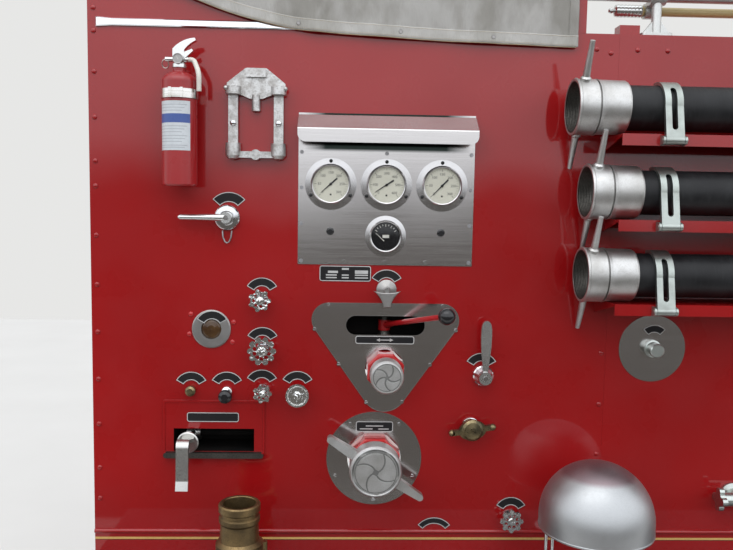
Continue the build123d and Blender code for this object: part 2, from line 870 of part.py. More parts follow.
# Dark box behind the slot, which keeps dust out; the stem comes up through its floor
shroud_width = slot_width + 2 * shroud_margin
shroud_height = slot_height + 2 * shroud_margin
shroud_back = hub_r + hub_clear
with BuildPart() as slot_shroud:
    with BuildSketch(front(-seat_gap)) as outside:
        with Locations((outlet_x, slot_z)):
            RectangleRounded(shroud_width, shroud_height, 8)
    extrude(outside.sketch, amount=-frame_depth - shroud_back)
    with BuildSketch(front(-seat_gap)) as inside:
        with Locations((outlet_x, slot_z)):
            RectangleRounded(shroud_width - 2 * shroud_wall, shroud_height - 2 * shroud_wall, 6)
    extrude(inside.sketch, amount=-frame_depth - shroud_back + shroud_wall, mode=Mode.SUBTRACT)
    with BuildSketch(Plane.XY.offset(slot_z - shroud_height / 2)) as floor_hole:
        with Locations((lever_pivot.X, lever_pivot.Y)):
            Circle(hub_r + 2 + seat_gap)
    extrude(floor_hole.sketch, amount=2 * shroud_wall, mode=Mode.SUBTRACT)
write(slot_shroud.part, "slot_shroud")

# Pump shift: pressed plate with a guide bar, the box behind it, its slide bar and the handle
shift_plate_width = shift_open_width + 2 * shift_border
shift_plate_top = shift_z + shift_open_height / 2 + shift_brow
shift_plate_low = shift_z - shift_open_height / 2 - guide_height / 2 - 3
shift_plate_z = (shift_plate_top + shift_plate_low) / 2
shift_plate_height = shift_plate_top - shift_plate_low
rim_height = 2.0
with BuildPart() as shift_plate:
    with BuildSketch(front()) as field:
        with Locations((shift_x, shift_plate_z)):
            RectangleRounded(shift_plate_width, shift_plate_height, 6)
        with Locations((shift_x, shift_z)):
            Rectangle(shift_open_width, shift_open_height, mode=Mode.SUBTRACT)
    extrude(field.sketch, amount=plate_thick)
    with BuildSketch(front(plate_thick)) as rim:
        with Locations((shift_x, shift_plate_z)):
            RectangleRounded(shift_plate_width, shift_plate_height, 6)
            RectangleRounded(shift_plate_width - 12, shift_plate_height - 12, 4, mode=Mode.SUBTRACT)
    extrude(rim.sketch, amount=rim_height, taper=20)
    with BuildSketch(front(plate_thick)) as guide:
        with Locations((shift_x, shift_z - shift_open_height / 2 - guide_height / 2 - 1)):
            RectangleRounded(shift_plate_width - 6, guide_height, 6)
    extrude(guide.sketch, amount=guide_thick)
write(shift_plate.part, "shift_plate")

bar_y = face_y(-shift_bar_in)
with BuildPart() as shift_box:
    with BuildSketch(front(-seat_gap)) as outside:
        with Locations((shift_x, shift_z)):
            Rectangle(shift_open_width + 2 * sheet, shift_open_height + 2 * sheet)
    extrude(outside.sketch, amount=-shift_box_depth)
    with BuildSketch(front(-seat_gap)) as hollow:
        with Locations((shift_x, shift_z)):
            Rectangle(shift_open_width, shift_open_height)
    extrude(hollow.sketch, amount=sheet - shift_box_depth, mode=Mode.SUBTRACT)
    with BuildSketch(across(shift_x - shift_open_width / 2)) as bar:
        with Locations((bar_y, shift_z)):
            Circle(shift_bar_r)
    extrude(bar.sketch, amount=shift_open_width)
write(shift_box.part, "shift_box")

shift_handle_x = shift_x - shift_rest
sleeve_r = 2 * shift_bar_r
sleeve_half = 18.0
neck_r = 9.0
collar_r = 28.0
collar_thick = 8.0
collar_out = plate_thick + guide_thick + 6
grip_thick = 9.0
grip_low = shift_z - shift_grip_drop
with BuildPart() as shift_handle:
    with BuildSketch(across(shift_handle_x - sleeve_half)) as sleeve:
        with Locations((bar_y, shift_z)):
            Circle(sleeve_r)
            Circle(shift_bar_r + shift_bar_clear, mode=Mode.SUBTRACT)
    extrude(sleeve.sketch, amount=2 * sleeve_half)
    with BuildSketch(front(sleeve_r - 2 - shift_bar_in)) as neck:
        with Locations((shift_handle_x, shift_z)):
            Circle(neck_r)
    extrude(neck.sketch, amount=shift_bar_in - sleeve_r + 2 + collar_out + collar_thick)
    turned(
        shift_handle_x,
        shift_z,
        (0, collar_out),
        (collar_r - 2, collar_out),
        (collar_r, collar_out + 2),
        (collar_r, collar_out + collar_thick - 2),
        (collar_r - 3, collar_out + collar_thick),
        (0, collar_out + collar_thick),
    )
    with BuildSketch(across(shift_handle_x - shift_grip_width / 2)) as strap:
        with BuildLine():
            FilletPolyline(
                (face_y(collar_out + 2), shift_z),
                (face_y(shift_handle_out - 5), shift_z + 18),
                (face_y(shift_handle_out), grip_low + 24),
                (face_y(shift_handle_out + 6), grip_low),
                radius=9,
            )
            offset(amount=grip_thick, side=Side.RIGHT)
        make_face()
    extrude(strap.sketch, amount=shift_grip_width)
write(shift_handle.part, "shift_handle")

# Valve wheels: a lobed rim on spokes, or a dished disc, each with a raised hub
wheels = (  # control, radius, lobes of the rim, 0 for a disc
    ("drain", 29.0, 7),
    ("primer", 37.0, 10),
    ("booster", 25.0, 7),
    ("cooler", 30.0, 0),
    ("relief", 31.0, 8),
)
wheel_out = 34.0
wheel_thick = 9.0
stem_r = 7.0
with BuildPart() as valve_wheels:
    for key, wheel_r, lobes in wheels:
        x, z, hole_r = controls[key]
        if lobes:
            with BuildSketch(front(wheel_out)) as star:
                with Locations((x, z)):
                    Circle(0.8 * wheel_r)
                    with PolarLocations(0.8 * wheel_r, lobes):
                        Circle(0.2 * wheel_r)
                    with PolarLocations(0.52 * wheel_r, lobes, start_angle=180 / lobes):
                        Circle(0.14 * wheel_r, mode=Mode.SUBTRACT)
            extrude(star.sketch, amount=wheel_thick)
        else:
            turned(
                x,
                z,
                (0, wheel_out),
                (0.8 * wheel_r, wheel_out),
                (wheel_r, wheel_out + 3),
                (wheel_r, wheel_out + wheel_thick),
                (0.86 * wheel_r, wheel_out + wheel_thick),
                (0.76 * wheel_r, wheel_out + 4),
                (0, wheel_out + 4),
            )
        turned(
            x,
            z,
            (0, wheel_out - 3),
            (0.3 * wheel_r, wheel_out - 3),
            (0.3 * wheel_r, wheel_out + wheel_thick),
            (0.24 * wheel_r, wheel_out + wheel_thick + 4),
            (0, wheel_out + wheel_thick + 5),
        )
write(valve_wheels.part, "valve_wheels")

# Seats of the controls: a body behind the sheet, a flange, a hexagonal packing nut and the stem
seat_out = 5.0
nut_out = 14.0
with BuildPart() as control_seats:
    for key, wheel_r, lobes in wheels:
        x, z, hole_r = controls[key]
        turned(
            x,
            z,
            (0, -frame_depth + 12),
            (20, -frame_depth + 12),
            (20, -20),
            (hole_r - 1, -12),
            (hole_r - 1, seat_gap),
            (hole_r + 9, seat_gap),
            (hole_r + 8, seat_out),
            (stem_r, seat_out),
            (stem_r, wheel_out - 3 - seat_gap),
            (0, wheel_out - 3 - seat_gap),
        )
        with BuildSketch(front(seat_out)) as nut:
            with Locations((x, z)):
                RegularPolygon(stem_r + 4, 6, major_radius=False)
        extrude(nut.sketch, amount=nut_out - seat_out)
    throttle_x, throttle_z, hole_r = controls["throttle"]
    throttle_hub_out = 24.0
    turned(
        throttle_x,
        throttle_z,
        (0, -frame_depth + 20),
        (14, -frame_depth + 20),
        (14, -14),
        (hole_r - 1, -10),
        (hole_r - 1, seat_gap),
        (27, seat_gap),
        (27, 7),
        (24, 10),
        (16, throttle_hub_out),
        (pin_r, throttle_hub_out),
        (pin_r, throttle_hub_out + 20),
        (0, throttle_hub_out + 20),
    )
    cock_x, cock_z, hole_r = controls["cock"]
    cock_hub_out = 18.0
    turned(
        cock_x,
        cock_z,
        (0, -frame_depth + 16),
        (20, -frame_depth + 16),
        (20, -16),
        (hole_r - 1, -10),
        (hole_r - 1, seat_gap),
        (32, seat_gap),
        (32, 8),
        (29, 11),
        (20, 12),
        (18, cock_hub_out),
        (pin_r, cock_hub_out),
        (pin_r, cock_hub_out + 18),
        (0, cock_hub_out + 18),
    )
    wing_x, wing_z, hole_r = controls["wing"]
    wing_out = 22.0
    turned(
        wing_x,
        wing_z,
        (0, -frame_depth),
        (18, -frame_depth),
        (18, -16),
        (hole_r - 1, -10),
        (hole_r - 1, seat_gap),
        (25, seat_gap),
        (25, 5),
        (17, 7),
        (17, wing_out),
        (0, wing_out),
    )
write(control_seats.part, "control_seats")

with BuildPart() as black_knobs:
    for x in (gauge_x - gauge_pitch, gauge_x + gauge_pitch):
        turned(
            x,
            plug_z,
            (0, -8),
            (plug_r - 2.5, -8),
            (plug_r - 2.5, plate_thick + seat_gap),
            (plug_r, plate_thick + seat_gap),
            (plug_r, plate_thick + 3),
            (plug_r - 3, plate_thick + 5),
            (0, plate_thick + 5),
        )
    x, z, hole_r = controls["starter"]
    turned(
        x,
        z,
        (0, -20),
        (hole_r - 1, -20),
        (hole_r - 1, seat_gap),
        (13, seat_gap),
        (13, 8),
        (9, 12),
        (9, 20),
        (16, 26),
        (18, 34),
        (16, 42),
        (9, 46),
        (0, 46),
    )
write(black_knobs.part, "black_knobs")

lamp_x, lamp_z, lamp_hole_r = controls["lamp"]
lamp_r = 50.0
lens_r = 25.7
with BuildPart() as lamp_ring:
    turned(
        lamp_x,
        lamp_z,
        (0, -42),
        (lamp_hole_r - 1, -42),
        (lamp_hole_r - 1, seat_gap),
        (lamp_r, seat_gap),
        (lamp_r, lamp_ring_out - 2),
        (lamp_r - 3, lamp_ring_out),
        (lens_r + seat_gap, lamp_ring_out),
        (lens_r + seat_gap, -38),
        (0, -38),
    )
write(lamp_ring.part, "lamp_ring")

with BuildPart() as lamp_lens:
    turned(lamp_x, lamp_z, (0, -3), (lens_r, -3), (lens_r, 2), (20, 5), (10, 7), (0, 7.5))
write(lamp_lens.part, "lamp_lens")

# Pull handle: a collar, its rod and a fan-shaped grip
pull_x, pull_z, pull_hole_r = controls["pull"]
grip_half = 35.0
grip_toe = 9.0
grip_drop = 42.0
grip_crown = 150.0
grip_waist = 60.0
grip_out = 32.0
with BuildPart() as pull_handle:
    turned(
        pull_x,
        pull_z,
        (0, -40),
        (pull_hole_r - 1, -40),
        (pull_hole_r - 1, seat_gap),
        (26, seat_gap),
        (26, 6),
        (16, 12),
        (10, 16),
        (pin_r, 20),
        (pin_r, grip_out + 4),
        (0, grip_out + 4),
    )
    with BuildSketch(front(grip_out)) as fan:
        with BuildLine():
            top = RadiusArc((pull_x + grip_half, pull_z), (pull_x - grip_half, pull_z), grip_crown)
            left = RadiusArc(top @ 1, (pull_x - grip_toe, pull_z - grip_drop), grip_waist)
            toe = Line(left @ 1, (pull_x + grip_toe, pull_z - grip_drop))
            RadiusArc(toe @ 1, top @ 0, grip_waist)
        make_face()
    extrude(fan.sketch, amount=11)
    fillet(pull_handle.faces().sort_by(Axis.Y)[0].outer_wire().edges(), radius=2.5)
write(pull_handle.part, "pull_handle")

# Throttle: a leaf-shaped blade on a bored hub; drain cock: a flat bar on its pin
throttle_reach = 150.0
throttle_half = 14.0
lever_thick = 9.0
with BuildPart() as throttle_lever:
    hub_out = throttle_hub_out + seat_gap
    with BuildSketch(front(hub_out + 4)) as leaf:
        with BuildLine():
            side = Spline(
                (throttle_x - 6, throttle_z),
                (throttle_x - 0.8 * throttle_half, throttle_z + 0.4 * throttle_reach),
                (throttle_x - throttle_half, throttle_z + 0.75 * throttle_reach),
                (throttle_x, throttle_z + throttle_reach),
                tangents=((0, 1), (1, 0)),
            )
            mirror(side, about=Plane.YZ.offset(throttle_x))
            Line(side @ 0, (throttle_x + 6, throttle_z))
        make_face()
    extrude(leaf.sketch, amount=lever_thick)
    with BuildSketch(front(hub_out)) as boss:
        with Locations((throttle_x, throttle_z)):
            Circle(hub_r + 1)
    extrude(boss.sketch, amount=18)
    with BuildSketch(front(hub_out)) as eye:
        with Locations((throttle_x, throttle_z)):
            Circle(pin_r + pin_clear)
    extrude(eye.sketch, amount=18, mode=Mode.SUBTRACT)
write(throttle_lever.part, "throttle_lever")

cock_reach = 120.0
cock_rod_r = 9.0
with BuildPart() as cock_lever:
    hub_out = cock_hub_out + seat_gap
    rod_y = face_y(hub_out + cock_rod_r)
    with BuildSketch(Plane.XZ.offset(-rod_y)) as rod:
        with BuildLine():
            Polyline(
                (cock_x, cock_z),
                (cock_x, cock_z + cock_rod_r),
                (cock_x - cock_reach + 5, cock_z + 0.75 * cock_rod_r),
                (cock_x - cock_reach, cock_z + 0.4 * cock_rod_r),
                (cock_x - cock_reach, cock_z),
                close=True,
            )
        make_face()
    revolve(axis=Axis((cock_x, rod_y, cock_z), (1, 0, 0)))
    with BuildSketch(front(hub_out)) as boss:
        with Locations((cock_x, cock_z)):
            Circle(14)
    extrude(boss.sketch, amount=2 * cock_rod_r - 2)
    with BuildSketch(front(hub_out)) as eye:
        with Locations((cock_x, cock_z)):
            Circle(pin_r + pin_clear)
    extrude(eye.sketch, amount=2 * cock_rod_r, mode=Mode.SUBTRACT)
write(cock_lever.part, "cock_lever")

# Brass: a push knob and a drain cap with two ears that end in balls
ear_tilt = 9.0
ear_reach = 58.0
with BuildPart() as brass_fittings:
    x, z, hole_r = controls["choke"]
    turned(
        x,
        z,
        (0, -20),
        (hole_r - 1, -20),
        (hole_r - 1, seat_gap),
        (10, seat_gap),
        (13, 6),
        (13, 18),
        (8, 22),
        (0, 22),
    )
    turned(
        wing_x,
        wing_z,
        (0, wing_out + seat_gap),
        (24, wing_out + seat_gap),
        (28, wing_out + 4),
        (28, wing_out + 15),
        (22, wing_out + 20),
        (8, wing_out + 22),
        (0, wing_out + 22),
    )
    with BuildSketch(front(wing_out + 4)) as ears:
        with Locations((wing_x, wing_z)):
            with Locations(Location((0, 0), ear_tilt)):
                SlotCenterToCenter(2 * ear_reach - 16, 14)
                Ellipse(36, 25)
    extrude(ears.sketch, amount=11)
    for way in (-1, 1):
        turn = radians(ear_tilt)
        with Locations(
            (
                wing_x + way * (ear_reach - 4) * cos(turn),
                face_y(wing_out + 10),
                wing_z + way * (ear_reach - 4) * sin(turn),
            )
        ):
            Sphere(9)
write(brass_fittings.part, "brass_fittings")

# Hand extinguisher on its bracket
bottle_out = bottle_r + bracket_gap
bottle_y = face_y(bottle_out)
bottle_high = bottle_low + bottle_height
neck_high = bottle_high + 8
shoulder_r = 26.0
with BuildPart() as extinguisher_bottle:
    with BuildSketch(Plane.XZ.offset(-bottle_y)):
        with BuildLine():
            foot = Polyline(
                (bottle_x, bottle_low + 6),
                (bottle_x + bottle_r - 10, bottle_low),
                (bottle_x + bottle_r - 3, bottle_low),
                (bottle_x + bottle_r, bottle_low + 4),
                (bottle_x + bottle_r, bottle_high - shoulder_r),
            )
            dome = EllipticalCenterArc(
                (bottle_x, bottle_high - shoulder_r), bottle_r, shoulder_r, arc_size=68
            )
            Polyline(
                dome @ 1,
                (bottle_x + 15, bottle_high),
                (bottle_x + 15, neck_high),
                (bottle_x, neck_high),
                foot @ 0,
            )
        make_face()
    revolve(axis=Axis((bottle_x, bottle_y, 0), (0, 0, 1)))
write(extinguisher_bottle.part, "extinguisher_bottle")

valve_low = neck_high + seat_gap
valve_middle = valve_low + 20
hose_stub = 22.0
squeeze_reach = 39.0
squeeze_rise = 51.0
squeeze_crown = 80.0
squeeze_belly = 70.0
with BuildPart() as extinguisher_valve:
    upright(
        bottle_x,
        bottle_y,
        (0, valve_low),
        (17, valve_low),
        (17, valve_low + 8),
        (13, valve_low + 12),
        (13, valve_low + 36),
        (0, valve_low + 36),
    )
    with BuildSketch(Plane.XZ.offset(-bottle_y)) as squeeze:
        with BuildLine():
            back = Line((bottle_x - 15, valve_middle + 6), (bottle_x - 15, valve_middle + 24))
            crest_end = (bottle_x + squeeze_reach, valve_middle + squeeze_rise)
            crest = RadiusArc(back @ 1, crest_end, squeeze_crown)
            tip = Line(crest @ 1, (bottle_x + squeeze_reach + 2, valve_middle + squeeze_rise - 6))
            belly = RadiusArc(tip @ 1, (bottle_x + 13, valve_middle + 22), -squeeze_belly)
            Polyline(belly @ 1, (bottle_x + 13, valve_middle + 6), back @ 0)
        make_face()
    extrude(squeeze.sketch, amount=9, both=True)
    with BuildSketch(Plane.XZ.offset(-bottle_y)) as carry:
        with BuildLine():
            Polyline(
                (bottle_x, valve_middle + 12),
                (bottle_x + 32, valve_middle + 25),
                (bottle_x + 34, valve_middle + 20),
                (bottle_x + 14, valve_middle + 2),
                (bottle_x, valve_middle),
                close=True,
            )
        make_face()
    extrude(carry.sketch, amount=8, both=True)
    with BuildSketch(across(bottle_x)) as gauge_stub:
        with Locations((bottle_y, valve_middle)):
            Circle(6)
    extrude(gauge_stub.sketch, amount=-34)
    with BuildSketch(across(bottle_x)) as outlet_stub:
        with Locations((bottle_y, valve_middle)):
            Circle(7)
    extrude(outlet_stub.sketch, amount=hose_stub)
    with BuildSketch(Plane.XZ.offset(-bottle_y)) as dial:
        with Locations((bottle_x, valve_middle - 1)):
            Circle(12)
    extrude(dial.sketch, amount=20)
write(extinguisher_valve.part, "extinguisher_valve")

strap_z = bottle_low + strap_rise
strap_half = 11.0
strap_thick = 2.3
back_thick = bracket_gap - 2 * seat_gap
with BuildPart() as extinguisher_bracket:
    with BuildSketch(Plane.XY.offset(strap_z - strap_half)) as band:
        with Locations((bottle_x, bottle_y)):
            Circle(bottle_r + seat_gap + strap_thick)
            Circle(bottle_r + seat_gap, mode=Mode.SUBTRACT)
        with Locations((bottle_x, bottle_y - bottle_r - seat_gap - strap_thick)):
            Rectangle(34, 2 * strap_thick)
    extrude(band.sketch, amount=2 * strap_half)
    with BuildSketch(Plane.XY.offset(bottle_low + 20)) as back_bar:
        with Locations((bottle_x, face_y(seat_gap + back_thick / 2))):
            Rectangle(34, back_thick)
        with Locations((bottle_x, bottle_y)):
            Circle(bottle_r + seat_gap, mode=Mode.SUBTRACT)
    extrude(back_bar.sketch, amount=strap_rise + 10)
write(extinguisher_bracket.part, "extinguisher_bracket")

hose_bore_r = 6.0
with BuildPart() as extinguisher_hose:
    with BuildLine():
        FilletPolyline(
            (bottle_x + hose_stub + seat_gap, bottle_y, valve_middle),
            (bottle_x + hose_stub + 13, bottle_y, valve_middle),
            (bottle_x + bottle_r + 9, bottle_y - 22, valve_middle - 34),
            (bottle_x + bottle_r + 9, bottle_y - 22, valve_middle - 78),
            radius=(12, 40),
        )
    with BuildSketch(across(bottle_x + hose_stub + seat_gap)):
        with Locations((bottle_y, valve_middle)):
            Circle(hose_bore_r)
    sweep()
write(extinguisher_hose.part, "extinguisher_hose")

# Spanner rack: a head casting with two sockets, two bars and a foot casting with two cups
rack_out = 24.0
bar_width = 24.0
bar_thick = 12.0
bar_low = rack_z - rack_height / 2 + 12
bar_high = rack_z + rack_height / 2
socket_r = 19.0
with BuildPart() as spanner_rack:
    with BuildSketch(front(seat_gap)) as head:
        with BuildLine():
            FilletPolyline(
                (rack_x - 26, bar_high + 54),
                (rack_x + 26, bar_high + 54),
                (rack_x + rack_half + 16, bar_high + 17),
                (rack_x + rack_half + 18, bar_high - 2),
                (rack_x + 34, bar_high - 14),
                (rack_x + 15, bar_high - 22),
                (rack_x - 15, bar_high - 22),
                (rack_x - 34, bar_high - 14),
                (rack_x - rack_half - 18, bar_high - 2),
                (rack_x - rack_half - 16, bar_high + 17),
                radius=4,
                close=True,
            )
        make_face()
    extrude(head.sketch, amount=rack_out - 8)
    with BuildSketch(front(seat_gap)) as crown:
        with Locations((rack_x, bar_high + 42)):
            RectangleRounded(50, 22, 4)
    extrude(crown.sketch, amount=rack_out)
    with BuildSketch(Plane.XY.offset(bar_high - 52)) as spigot:
        with Locations((rack_x, face_y(rack_out / 2))):
            Circle(rack_out / 2 - 1)
    extrude(spigot.sketch, amount=40)
    for side in (-1, 1):
        x = rack_x + side * rack_half
        with BuildSketch(Plane.XY.offset(bar_high - 12)) as socket:
            with Locations((x, face_y(socket_r + seat_gap))):
                Circle(socket_r)
        extrude(socket.sketch, amount=20)
        with BuildSketch(front(seat_gap + 6)) as bar:
            with Locations((x, (bar_high + bar_low) / 2)):
                Rectangle(bar_width, bar_high - bar_low)
        extrude(bar.sketch, amount=bar_thick)
        upright(
            x,
            face_y(socket_r + seat_gap),
            (0, bar_low - 30),
            (socket_r - 6, bar_low - 26),
            (socket_r, bar_low - 18),
            (socket_r, bar_low + 12),
            (0, bar_low + 12),
        )
    with BuildSketch(front(seat_gap)) as tie:
        with Locations((rack_x, bar_low - 16)):
            Rectangle(2 * rack_half, 16)
            Circle(13)
    extrude(tie.sketch, amount=rack_out)
write(spanner_rack.part, "spanner_rack")

# Bell on its post: a dome with a rolled rim, thin at the crown
bell_out = bell_r + bell_wall_gap
bell_y = face_y(bell_out)
bell_rim_z = board_top + bell_rim_rise
dome_z = bell_rim_z + bell_skirt
bell_crown = dome_z + bell_r
rim_r = 3.0
with BuildPart() as bell:
    with BuildSketch(Plane.XZ.offset(-bell_y)):
        with BuildLine():
            outer = CenterArc((bell_x, dome_z), bell_r, 0, 90)
            inner = CenterArc((bell_x, dome_z), bell_r - bell_wall, 0, 90)
            Line(outer @ 1, inner @ 1)
            rim_out = (bell_x + bell_r, bell_rim_z)
            rim_in = (bell_x + bell_r - bell_wall, bell_rim_z)
            Polyline(outer @ 0, rim_out, rim_in, inner @ 0)
        make_face()
        with Locations((bell_x + bell_r - bell_wall / 2, bell_rim_z + rim_r)):
            Circle(rim_r)
    revolve(axis=Axis((bell_x, bell_y, 0), (0, 0, 1)))
write(bell.part, "bell")

post_r = 12.0
base_r = 52.0
board_seat = board_top + seat_gap
saddle_z = bell_crown - bell_wall - seat_gap
rod_r = 4.0
rod_reach = (bell_r - bell_wall - 3 * rod_r, bell_r - bell_wall - 7 * rod_r)
with BuildPart() as bell_stand:
    upright(
        bell_x,
        bell_y,
        (0, board_seat),
        (base_r, board_seat),
        (base_r, board_seat + 8),
        (20, board_seat + 14),
        (post_r, board_seat + 30),
        (post_r, saddle_z - 14),
        (22, saddle_z - 4),
        (22, saddle_z - 2),
        (0, saddle_z),
    )
    for reach in rod_reach:
        upright(
            bell_x - reach,
            bell_y,
            (0, board_seat),
            (3 * rod_r / 2, board_seat),
            (3 * rod_r / 2, board_seat + 5),
            (rod_r, board_seat + 7),
            (rod_r, bell_rim_z + 18),
            (0, bell_rim_z + 20),
        )
    with BuildSketch(Plane.XY.offset(bell_rim_z + 6)) as arm:
        with Locations((bell_x - rod_reach[0] / 2, bell_y)):
            Rectangle(rod_reach[0], 10)
    extrude(arm.sketch, amount=8)
write(bell_stand.part, "bell_stand")

# Brass adapter standing mouth up on the board: a collar, a waisted body and three rocker lugs
adapter_y = face_y(adapter_out)
adapter_top = board_seat + adapter_height
collar_low = board_seat + 0.37 * adapter_height
collar_high = board_seat + 0.54 * adapter_height
with BuildPart() as hose_adapter:
    upright(
        adapter_x,
        adapter_y,
        (adapter_bore_r, board_seat),
        (adapter_r + 3, board_seat),
        (adapter_r + 3, board_seat + 24),
        (adapter_r - 3, board_seat + 34),
        (adapter_r - 3, collar_low - 8),
        (adapter_r + 7, collar_low),
        (adapter_r + 7, collar_high),
        (adapter_r - 3, collar_high + 8),
        (adapter_r - 5, adapter_top - 50),
        (adapter_r - 1, adapter_top - 44),
        (adapter_r - 1, adapter_top - 34),
        (adapter_r - 5, adapter_top - 31),
        (adapter_r - 5, adapter_top - 22),
        (adapter_r, adapter_top - 18),
        (adapter_r, adapter_top - 3),
        (adapter_r - 3, adapter_top),
        (adapter_bore_r + 1, adapter_top),
        (adapter_bore_r, adapter_top - 2),
    )
    with BuildSketch(Plane.XY.offset(collar_low + 6)) as ears:
        with Locations((adapter_x, adapter_y)):
            with PolarLocations(adapter_r + 7, 3, start_angle=20):
                RectangleRounded(22, 18, 5)
    extrude(ears.sketch, amount=collar_high - collar_low - 12)
write(hose_adapter.part, "hose_adapter")

# Suction hoses in their couplings, on shelves
hose_y = face_y(hose_out)
hose_rows = (  # name, height of the axis, front face of the coupling
    ("upper", hose_top_z, panel_right - upper_lead),
    ("middle", hose_top_z - hose_pitch, panel_right - middle_lead),
    ("lower", hose_top_z - 2 * hose_pitch, panel_right - lower_lead),
)
socket_r = hose_r + seat_gap
shank_end = swivel_length + shank_length
handle_tilt = degrees(asin((hose_out - handle_r - handle_wall_gap) / handle_reach))


def along(x, z, *outline):
    """Turn an outline of (distance along the hose, radius) about a hose's axis."""
    with BuildSketch(Plane.XZ.offset(-hose_y)) as profile:
        with BuildLine():
            Polyline(*[(x + step, z + radius) for step, radius in outline], close=True)
        make_face()
    revolve(profile.sketch, axis=Axis((x, hose_y, z), (1, 0, 0)))


def coupling(face_x, z, way):
    """A long-handled swivel and its shank; `way` is 1 at a front end and -1 at a rear one."""
    mouth_r = swivel_r - coupling_wall
    outline = (
        (0, mouth_r),
        (0, swivel_r - 2),
        (3, swivel_r),
        (5, swivel_r),
        (7, swivel_r - 2),
        (swivel_length - 3, swivel_r - 2),
        (swivel_length - 1, swivel_r - 4),
        (swivel_length - 1, swivel_r - 7),
        (swivel_length + 1, swivel_r - 7),
        (swivel_length + 1, shank_r + 2),
        (swivel_length + shelf_clear - 1, shank_r),
        (shank_end - 4, shank_r - 1),
        (shank_end, shank_r - 3),
        (shank_end, socket_r),
        (hose_tail, socket_r),
        (hose_tail, hose_r - coupling_wall),
        (swivel_length - 16, hose_r - coupling_wall),
        (swivel_length - 16, mouth_r),
    )
    along(face_x, z, *[(step * way, radius) for step, radius in outline[::-way]])
    for turn in (handle_tilt, handle_tilt + 180):
        direction = Vector(0, -sin(radians(turn)), cos(radians(turn)))
        foot = Vector(face_x + 0.4 * swivel_length * way, hose_y, z) + direction * (swivel_r - 6)
        length = handle_reach - swivel_r + 6
        side = Vector(1, 0, 0).cross(direction)
        with BuildSketch(Plane(origin=foot, x_dir=(1, 0, 0), z_dir=side)) as rod:
            with BuildLine():
                Polyline(
                    (0, 0),
                    (handle_r + 4, 0),
                    (handle_r + 4, 10),
                    (handle_r, 14),
                    (handle_r - 3, length),
                    (0, length),
                    close=True,
                )
            make_face()
        revolve(rod.sketch, axis=Axis(foot, direction))


with BuildPart() as suction_hoses:
    for name, z, left in hose_rows:
        along(
            left,
            z,
            (hose_tail + seat_gap, 0),
            (hose_tail + seat_gap, hose_r),
            (hose_length - hose_tail - seat_gap, hose_r),
            (hose_length - hose_tail - seat_gap, 0),
        )
write(suction_hoses.part, "suction_hoses")

with BuildPart() as front_couplings:
    for name, z, left in hose_rows:
        coupling(left, z, 1)
write(front_couplings.part, "front_couplings")

with BuildPart() as rear_couplings:
    for name, z, left in hose_rows:
        coupling(left + hose_length, z, -1)
write(rear_couplings.part, "rear_couplings")

lip_out = hose_out + shelf_lip_out
shelf_drop = 40.0
shelf_start = panel_right - shelf_lead
shelf_end = bay_right - shelf_inset
with BuildPart() as hose_shelves:
    for name, z, left in hose_rows:
        floor_z = z - shank_r - seat_gap
        shelf_left = max(left + swivel_length + shelf_clear, shelf_start)
        with BuildSketch(across(shelf_left)) as section:
            with BuildLine():
                Polyline(
                    (face_y(seat_gap), floor_z),
                    (face_y(lip_out), floor_z),
                    (face_y(lip_out), floor_z - shelf_flange),
                    (face_y(lip_out - shelf_thick), floor_z - shelf_flange),
                    (face_y(lip_out - shelf_thick), floor_z - shelf_thick),
                    (face_y(seat_gap + shelf_thick), floor_z - shelf_thick),
                    (face_y(seat_gap + shelf_thick), floor_z - shelf_drop),
                    (face_y(seat_gap), floor_z - shelf_drop),
                    close=True,
                )
            make_face()
        extrude(section.sketch, amount=shelf_end - shelf_left)
        for x in (shelf_left, (shelf_left + shelf_end) / 2, shelf_end - shelf_thick):
            with BuildSketch(across(x)) as gusset:
                with BuildLine():
                    Polyline(
                        (face_y(seat_gap), floor_z - 1),
                        (face_y(lip_out - 2 * shelf_thick), floor_z - 1),
                        (face_y(lip_out - 2 * shelf_thick), floor_z - 2 * shelf_thick),
                        (face_y(seat_gap), floor_z - shelf_drop),
                        close=True,
                    )
                make_face()
            extrude(gusset.sketch, amount=shelf_thick)
write(hose_shelves.part, "hose_shelves")

# Hinged hose clamps: a strap with a long slot, up from a pin on the shelf's lip and over the hose
clamp_in_r = hose_r + clamp_gap
clamp_out_r = clamp_in_r + clamp_thick
pin_y = face_y(lip_out + clamp_pin_out)
clamp_ends = (("front", bay_left + clamp_inset), ("rear", bay_right - clamp_rear_inset))
clamp_slot = clamp_width - 2 * clamp_prong
boss_r = 2 * clamp_pin_r
for name, z, left in hose_rows:
    pin_z = z - shank_r - clamp_drop
    for end, x in clamp_ends:
        with BuildPart() as clamp:
            with BuildSketch(across(x - clamp_width / 2)):
                with BuildLine():
                    outer = CenterArc((hose_y, z), clamp_out_r, 75, 105)
                    inner = CenterArc((hose_y, z), clamp_in_r, 75, 105)
                    Line(outer @ 0, inner @ 0)
                    Polyline(
                        outer @ 1, (pin_y - 0.9 * boss_r, pin_z), (pin_y + 0.3 * boss_r, pin_z), inner @ 1
                    )
                make_face()
                with Locations((pin_y, pin_z)):
                    Circle(boss_r)
            extrude(amount=clamp_width)
            slot_low = pin_z + 2.5 * boss_r
            slot_high = z + 0.8 * clamp_in_r
            with BuildSketch(front(lip_out + 3 * clamp_pin_out)):
                with Locations((x, (slot_low + slot_high) / 2)):
                    SlotOverall(slot_high - slot_low, clamp_slot, rotation=90)
            extrude(amount=-lip_out, mode=Mode.SUBTRACT)
            with BuildSketch(across(x - clamp_width / 2)):
                with Locations((pin_y, pin_z)):
                    Circle(clamp_pin_r + pin_clear)
            extrude(amount=clamp_width, mode=Mode.SUBTRACT)
        write(clamp.part, f"{name}_clamp_{end}")

